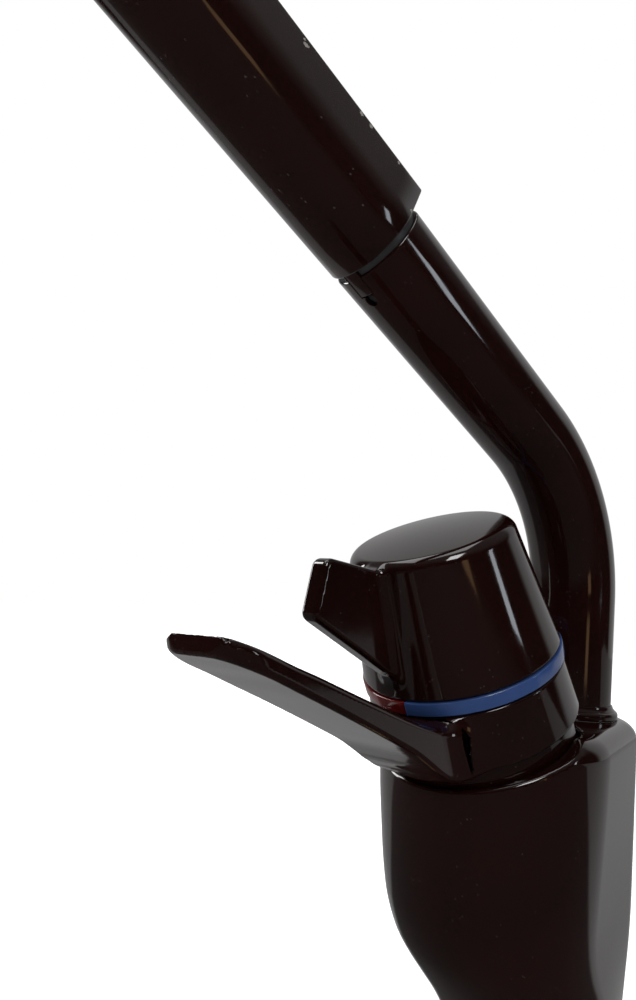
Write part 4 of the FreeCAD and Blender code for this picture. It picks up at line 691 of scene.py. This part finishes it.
def chip(tree):
    """Small ragged patches of ground coat, where the enamel is knocked off."""
    shader = tree.nodes["Principled BSDF"]
    where = put(tree, "ShaderNodeTexCoord").outputs["Object"]
    ragged = put(tree, "ShaderNodeTexNoise", {"Vector": where, "Scale": 1700, "Detail": 3})
    chipped = None
    for across, above, run, size in CHIPS:
        spot = HANDSET @ Vector((across * MM, above * MM, run * MM))
        away = put(tree, "ShaderNodeVectorMath", {0: where, 1: spot}, operation="DISTANCE")
        patch = put(tree, "ShaderNodeMath", {0: away.outputs["Value"], 1: -1 / (size * MM),
                                             2: 1.0}, operation="MULTIPLY_ADD")
        chipped = patch if chipped is None else put(
            tree, "ShaderNodeMath", {0: chipped.outputs[0], 1: patch.outputs[0]},
            operation="MAXIMUM")
    edge = put(tree, "ShaderNodeMath", {0: chipped.outputs[0], 1: ragged.outputs[0]},
               operation="ADD")
    mask = put(tree, "ShaderNodeMapRange", {"Value": edge.outputs[0], "From Min": 0.95,
                                            "From Max": 1.05})
    whole = shader.inputs["Base Color"].links[0].from_socket
    bare = put(tree, "ShaderNodeMixRGB", {0: mask.outputs[0], 1: whole, 2: GROUND_COAT})
    tree.links.new(bare.outputs[0], shader.inputs["Base Color"])
    gloss = shader.inputs["Roughness"].links[0].from_socket
    dull = put(tree, "ShaderNodeMapRange", {"Value": mask.outputs[0], "To Min": gloss,
                                            "To Max": 0.6})
    tree.links.new(dull.outputs[0], shader.inputs["Roughness"])


chip(worn.node_tree)


def flat_rise(run):
    """How far the flat top lies above the handset's axis, in mm."""
    return TOP_RISE - TOP_TAPER * run / HANDSET_LONG


def handset_reach(turn, run):
    """How far the outline lies from the handset's axis, in mm, towards one side."""
    # The lower half is a plain round
    if math.sin(turn) < 0.001:
        return SHELL_R
    rise = flat_rise(run)
    squash = rise / TOP_RISE
    full = math.atan2(math.sin(turn) / squash, abs(math.cos(turn)))
    side = SHELL_R / math.cos(max(full - EDGE_TURN, 0))
    side *= math.hypot(math.cos(full), math.sin(full) * squash)
    top = rise / math.sin(turn)
    # The smaller of the two, with a little rounding where they meet
    return 0.5 * (side + top - math.hypot(side - top, 0.5))


def handset_ring(bm, run, inset, bore=None):
    """One ring of edges around the handset, closer together at the two upper edges."""
    corner = math.atan2(flat_rise(run), TOP_HALF)
    close = math.radians(3)
    quarter = [*np.linspace(0, corner - close, 14),
               *np.linspace(corner - close, corner + close, 17)[1:],
               *np.linspace(corner + close, math.pi / 2, 8)[1:]]
    turns = [*quarter, *(math.pi - turn for turn in reversed(quarter[:-1])),
             *np.linspace(math.pi, 2 * math.pi, 65)[1:-1]]
    made = bmesh.ops.create_circle(bm, cap_ends=False, radius=1, segments=len(turns))
    for vert, turn in zip(made["verts"], turns):
        reach = (bore or handset_reach(turn, run) - inset) * MM
        vert.co = (reach * math.cos(turn), reach * math.sin(turn), run * MM)
    return list({edge for vert in made["verts"] for edge in vert.link_edges})


def handset_shell():
    """Rings around the outside and back through the bore, then the key under the mouth."""
    bm = bmesh.new()
    levels = [(0, 0.4), (0.12, 0.12), (0.4, 0), *((run, 0) for run in range(8, 113, 8)),
              (SHELL_LONG - 0.3, 0), (SHELL_LONG - 0.09, 0.09), (SHELL_LONG, 0.3)]
    rings = [handset_ring(bm, run, inset) for run, inset in levels]
    rings += [handset_ring(bm, run, 0, bore) for run, bore in
              ((SHELL_LONG, NOSE_BORE_R), (SLEEVE_DEEP, NOSE_BORE_R),
               (SLEEVE_DEEP, SLEEVE_BORE_R), (0.3, SLEEVE_BORE_R), (0, MOUTH_R))]
    for first, second in zip(rings, rings[1:] + rings[:1]):
        bmesh.ops.bridge_loops(bm, edges=first + second)
    half = math.degrees(math.asin(KEY_HALF / KEY_R))
    bm.from_mesh(turned(ring_section(KEY_INNER_R, KEY_R, KEY_LOW, KEY_TOP), 0.3, steps=10,
                        angle=2 * half, place=Matrix.Rotation(math.radians(-90 - half), 4, "Z")))
    bmesh.ops.recalc_face_normals(bm, faces=bm.faces)
    bmesh.ops.transform(bm, matrix=HANDSET, verts=bm.verts)
    return smoothed(bare_mesh(bm, "piece"), 50)


new_piece("handset", handset_shell(), "handset_shell", worn)

# The nose cap closes the handset: cast, with a rounded end, and a boss underneath that the
# outlet screws into. A small screw from below holds it in the shell.
OUTLET_ON, NOSE_ROUND = 138, 5
SPIGOT_R, SPIGOT_LOW = 9.57, 102
BOSS_R, BOSS_LOW, BOSS_HOLE_R, BOSS_HOLE_TOP = 12.2, -21.2, 10.6, -11.2
OUTLET_AT = (BEND_END + ALONG * (HANDSET_ON + OUTLET_ON) * MM) / MM


def nose_form(points):
    """The shell's outline run on to a rounded end, the spigot, and the boss with its hole."""
    turn = np.array(HANDSET.inverted())
    x, y, z = (np.hstack([points * MM, np.ones((len(points), 1))]) @ turn.T)[:, :3].T / MM
    rise = flat_rise(z)
    upper = np.where(y > 0, y * TOP_RISE / rise, y)
    side = np.abs(x) * math.cos(EDGE_TURN) + upper * math.sin(EDGE_TURN) - SHELL_R
    side = np.where(upper < np.abs(x) * math.tan(EDGE_TURN), np.hypot(x, upper) - SHELL_R, side)
    whole = trim(trim(side, y - rise, 1.0), z - HANDSET_LONG, NOSE_ROUND)
    whole = trim(whole, SHELL_LONG - z, 0.35)
    whole = np.minimum(whole, np.maximum(np.hypot(x, y) - SPIGOT_R, SPIGOT_LOW - z))
    reach = np.hypot(points[:, 0], points[:, 1] - OUTLET_AT.y)
    drop = points[:, 2] - OUTLET_AT.z
    boss = np.maximum(trim(reach - BOSS_R, BOSS_LOW - drop, 0.5), drop)
    whole = join(whole, boss, 2.5)
    return trim(whole, -np.maximum(reach - BOSS_HOLE_R, drop - BOSS_HOLE_TOP), 0.3)


new_piece("nose", cast("nose_cap", grain=0.43, form=nose_form), "nose_cap", worn)

# The outlet is a black plastic ring screwed into the boss, which holds a white insert with
# small holes that breaks the water into soft jets.
OUTLET = [(8.2, -24), (11.6, -24), (11.6, -21.2), (10.48, -21.2), (10.48, -12.2),
          (8.7, -12.2), (8.7, -23), (8.2, -23)]
new_piece("outlet", turned(OUTLET, 0.3, place=Matrix.Translation(OUTLET_AT * MM)),
          "aerator_housing", black_plastic)
dressed(white_plastic, "aerator_insert")

# The studio: a pale floor and a plain surround, which the eye sees as white. The gloss sees
# white behind the tap and a dim room in front of it, with five soft lamps. The floor lies
# under the end of the shank.
ROOM_SIDE = (math.sin(math.radians(34)), -math.cos(math.radians(34)), 0)
FLOOR_LEVEL, FLOOR_HALF, ROOM_FAR = -0.0625, 3, 4.0
bm = bmesh.new()
bmesh.ops.create_grid(bm, x_segments=1, y_segments=1, size=FLOOR_HALF)
bmesh.ops.translate(bm, vec=(0, 0, FLOOR_LEVEL), verts=bm.verts)
floor = stood("floor", bare_mesh(bm, "floor"))


def facing(tree, direction):
    """White behind the tap and dim in front of it, paler upwards, with a soft change."""
    front = put(tree, "ShaderNodeVectorMath", {0: direction, 1: ROOM_SIDE},
                operation="DOT_PRODUCT")
    height = put(tree, "ShaderNodeSeparateXYZ", {0: direction}).outputs["Z"]
    ceiling = put(tree, "ShaderNodeMapRange", {"Value": height, "From Min": 0.35,
                                               "From Max": 0.75, "To Min": 0.015,
                                               "To Max": 0.17})
    return put(tree, "ShaderNodeMapRange", {"Value": front.outputs["Value"], "From Min": -0.6,
                                            "From Max": -0.44, "To Min": 0.5,
                                            "To Max": ceiling.outputs[0]},
               interpolation_type="SMOOTHSTEP").outputs[0]


def pale_floor():
    """A pale matt floor that glows to the eye further out and, less, in the gloss."""
    material = bpy.data.materials.new("pale_floor")
    material.use_nodes = True
    tree = material.node_tree
    shader = tree.nodes["Principled BSDF"]
    where = put(tree, "ShaderNodeTexCoord").outputs["Object"]
    grain = put(tree, "ShaderNodeTexNoise", {"Vector": where, "Scale": 60, "Detail": 4})
    tone = put(tree, "ShaderNodeMapRange", {"Value": grain.outputs[0], "To Min": 0.74,
                                            "To Max": 0.8})
    rays = put(tree, "ShaderNodeLightPath").outputs
    dim = put(tree, "ShaderNodeMapRange", {"Value": rays["Is Glossy Ray"],
                                           "To Min": tone.outputs[0], "To Max": 0.03})
    tree.links.new(dim.outputs[0], shader.inputs["Base Color"])
    shader.inputs["Roughness"].default_value = 0.9
    far = put(tree, "ShaderNodeVectorMath", {0: where}, operation="LENGTH")
    outer = put(tree, "ShaderNodeMapRange", {"Value": far.outputs["Value"], "From Min": 0.2,
                                             "From Max": 0.7, "To Min": 0.5, "To Max": 1.0})
    way = put(tree, "ShaderNodeVectorMath", {0: where, 3: ROOM_FAR}, operation="SCALE").outputs[0]
    mirrored = put(tree, "ShaderNodeMath", {0: rays["Is Glossy Ray"], 1: facing(tree, way)},
                   operation="MULTIPLY")
    mirrored = put(tree, "ShaderNodeMath", {0: mirrored.outputs[0], 1: 0.6},
                   operation="MULTIPLY")
    seen = put(tree, "ShaderNodeMath", {0: rays["Is Camera Ray"], 1: outer.outputs[0]},
               operation="MULTIPLY")
    glow = put(tree, "ShaderNodeMath", {0: mirrored.outputs[0], 1: seen.outputs[0]},
               operation="ADD")
    shader.inputs["Emission Color"].default_value = (1, 1, 1, 1)
    tree.links.new(glow.outputs[0], shader.inputs["Emission Strength"])
    return material


def surround():
    """White to the eye, the room to the gloss, and a low even light to all else."""
    world = bpy.data.worlds.new("surround")
    world.use_nodes = True
    tree = world.node_tree
    rays = put(tree, "ShaderNodeLightPath").outputs
    around = put(tree, "ShaderNodeTexCoord").outputs["Generated"]
    plain = put(tree, "ShaderNodeMapRange", {"Value": rays["Is Glossy Ray"], "To Min": 0.3,
                                             "To Max": facing(tree, around)})
    level = put(tree, "ShaderNodeMapRange", {"Value": rays["Is Camera Ray"],
                                             "To Min": plain.outputs[0], "To Max": 1.0})
    background = tree.nodes["Background"]
    background.inputs["Color"].default_value = (1, 1, 1, 1)
    tree.links.new(level.outputs[0], background.inputs["Strength"])
    return world


floor.data.materials.append(pale_floor())
bpy.context.scene.world = surround()


def window(name, at, aim, size, power, tint=(1, 1, 1)):
    """A soft rectangular lamp, turned towards what it lights."""
    data = bpy.data.lights.new(name, "AREA")
    data.shape, data.energy, data.color = "RECTANGLE", power, tint
    data.size, data.size_y = size
    lamp = stood(name, data)
    lamp.rotation_euler = (Vector(aim) - Vector(at)).to_track_quat("-Z", "Y").to_euler()
    lamp.location = at


window("right_window", (1.2, -0.9, 1.3), (0, -0.03, 0.15), (0.5, 0.8), 16)
window("side_window", (1.33, 0.65, 0.36), (0, -0.03, 0.15), (0.15, 0.36), 1.0, (0.86, 0.93, 1))
window("warm_lamp", (1.47, -0.26, 0.05), (0, -0.03, 0.13), (0.2, 0.15), 0.12, (1, 0.6, 0.3))
window("overhead", (-0.3, -0.4, 1.8), (0, -0.05, 0.2), (1.4, 1.4), 20)
window("left_window", (-1.3, -0.6, 0.6), (0, -0.05, 0.15), (0.3, 1.0), 10)

# The camera stands low at the right front and looks a little upwards, slightly tilted. Its
# place, angles in degrees and lens put the tap where the photograph has it.
CAMERA_AT = (0.12502, -0.18613, 0.14842)
CAMERA_ROUND, CAMERA_UP, CAMERA_TILT = 53.33, -6.77, 5.33
SENSOR, LENS_SHARE = 36, 0.686
camera_data = bpy.data.cameras.new("camera")
camera_data.sensor_fit, camera_data.sensor_height = "VERTICAL", SENSOR
camera_data.lens, camera_data.clip_start = LENS_SHARE * SENSOR, 0.005
camera = stood("camera", camera_data)
az, el, tilt = (math.radians(v) for v in (CAMERA_ROUND, CAMERA_UP, CAMERA_TILT))
back = Vector((math.sin(az) * math.cos(el), -math.cos(az) * math.cos(el), math.sin(el)))
level = Vector((math.cos(az), math.sin(az), 0))
upright = back.cross(level)
right = level * math.cos(tilt) + upright * math.sin(tilt)
up = upright * math.cos(tilt) - level * math.sin(tilt)
pose = Matrix((right, up, back)).transposed().to_4x4()
pose.translation = Vector(CAMERA_AT)
camera.matrix_world = pose
bpy.context.scene.camera = camera
bpy.context.scene.view_settings.view_transform = "Standard"
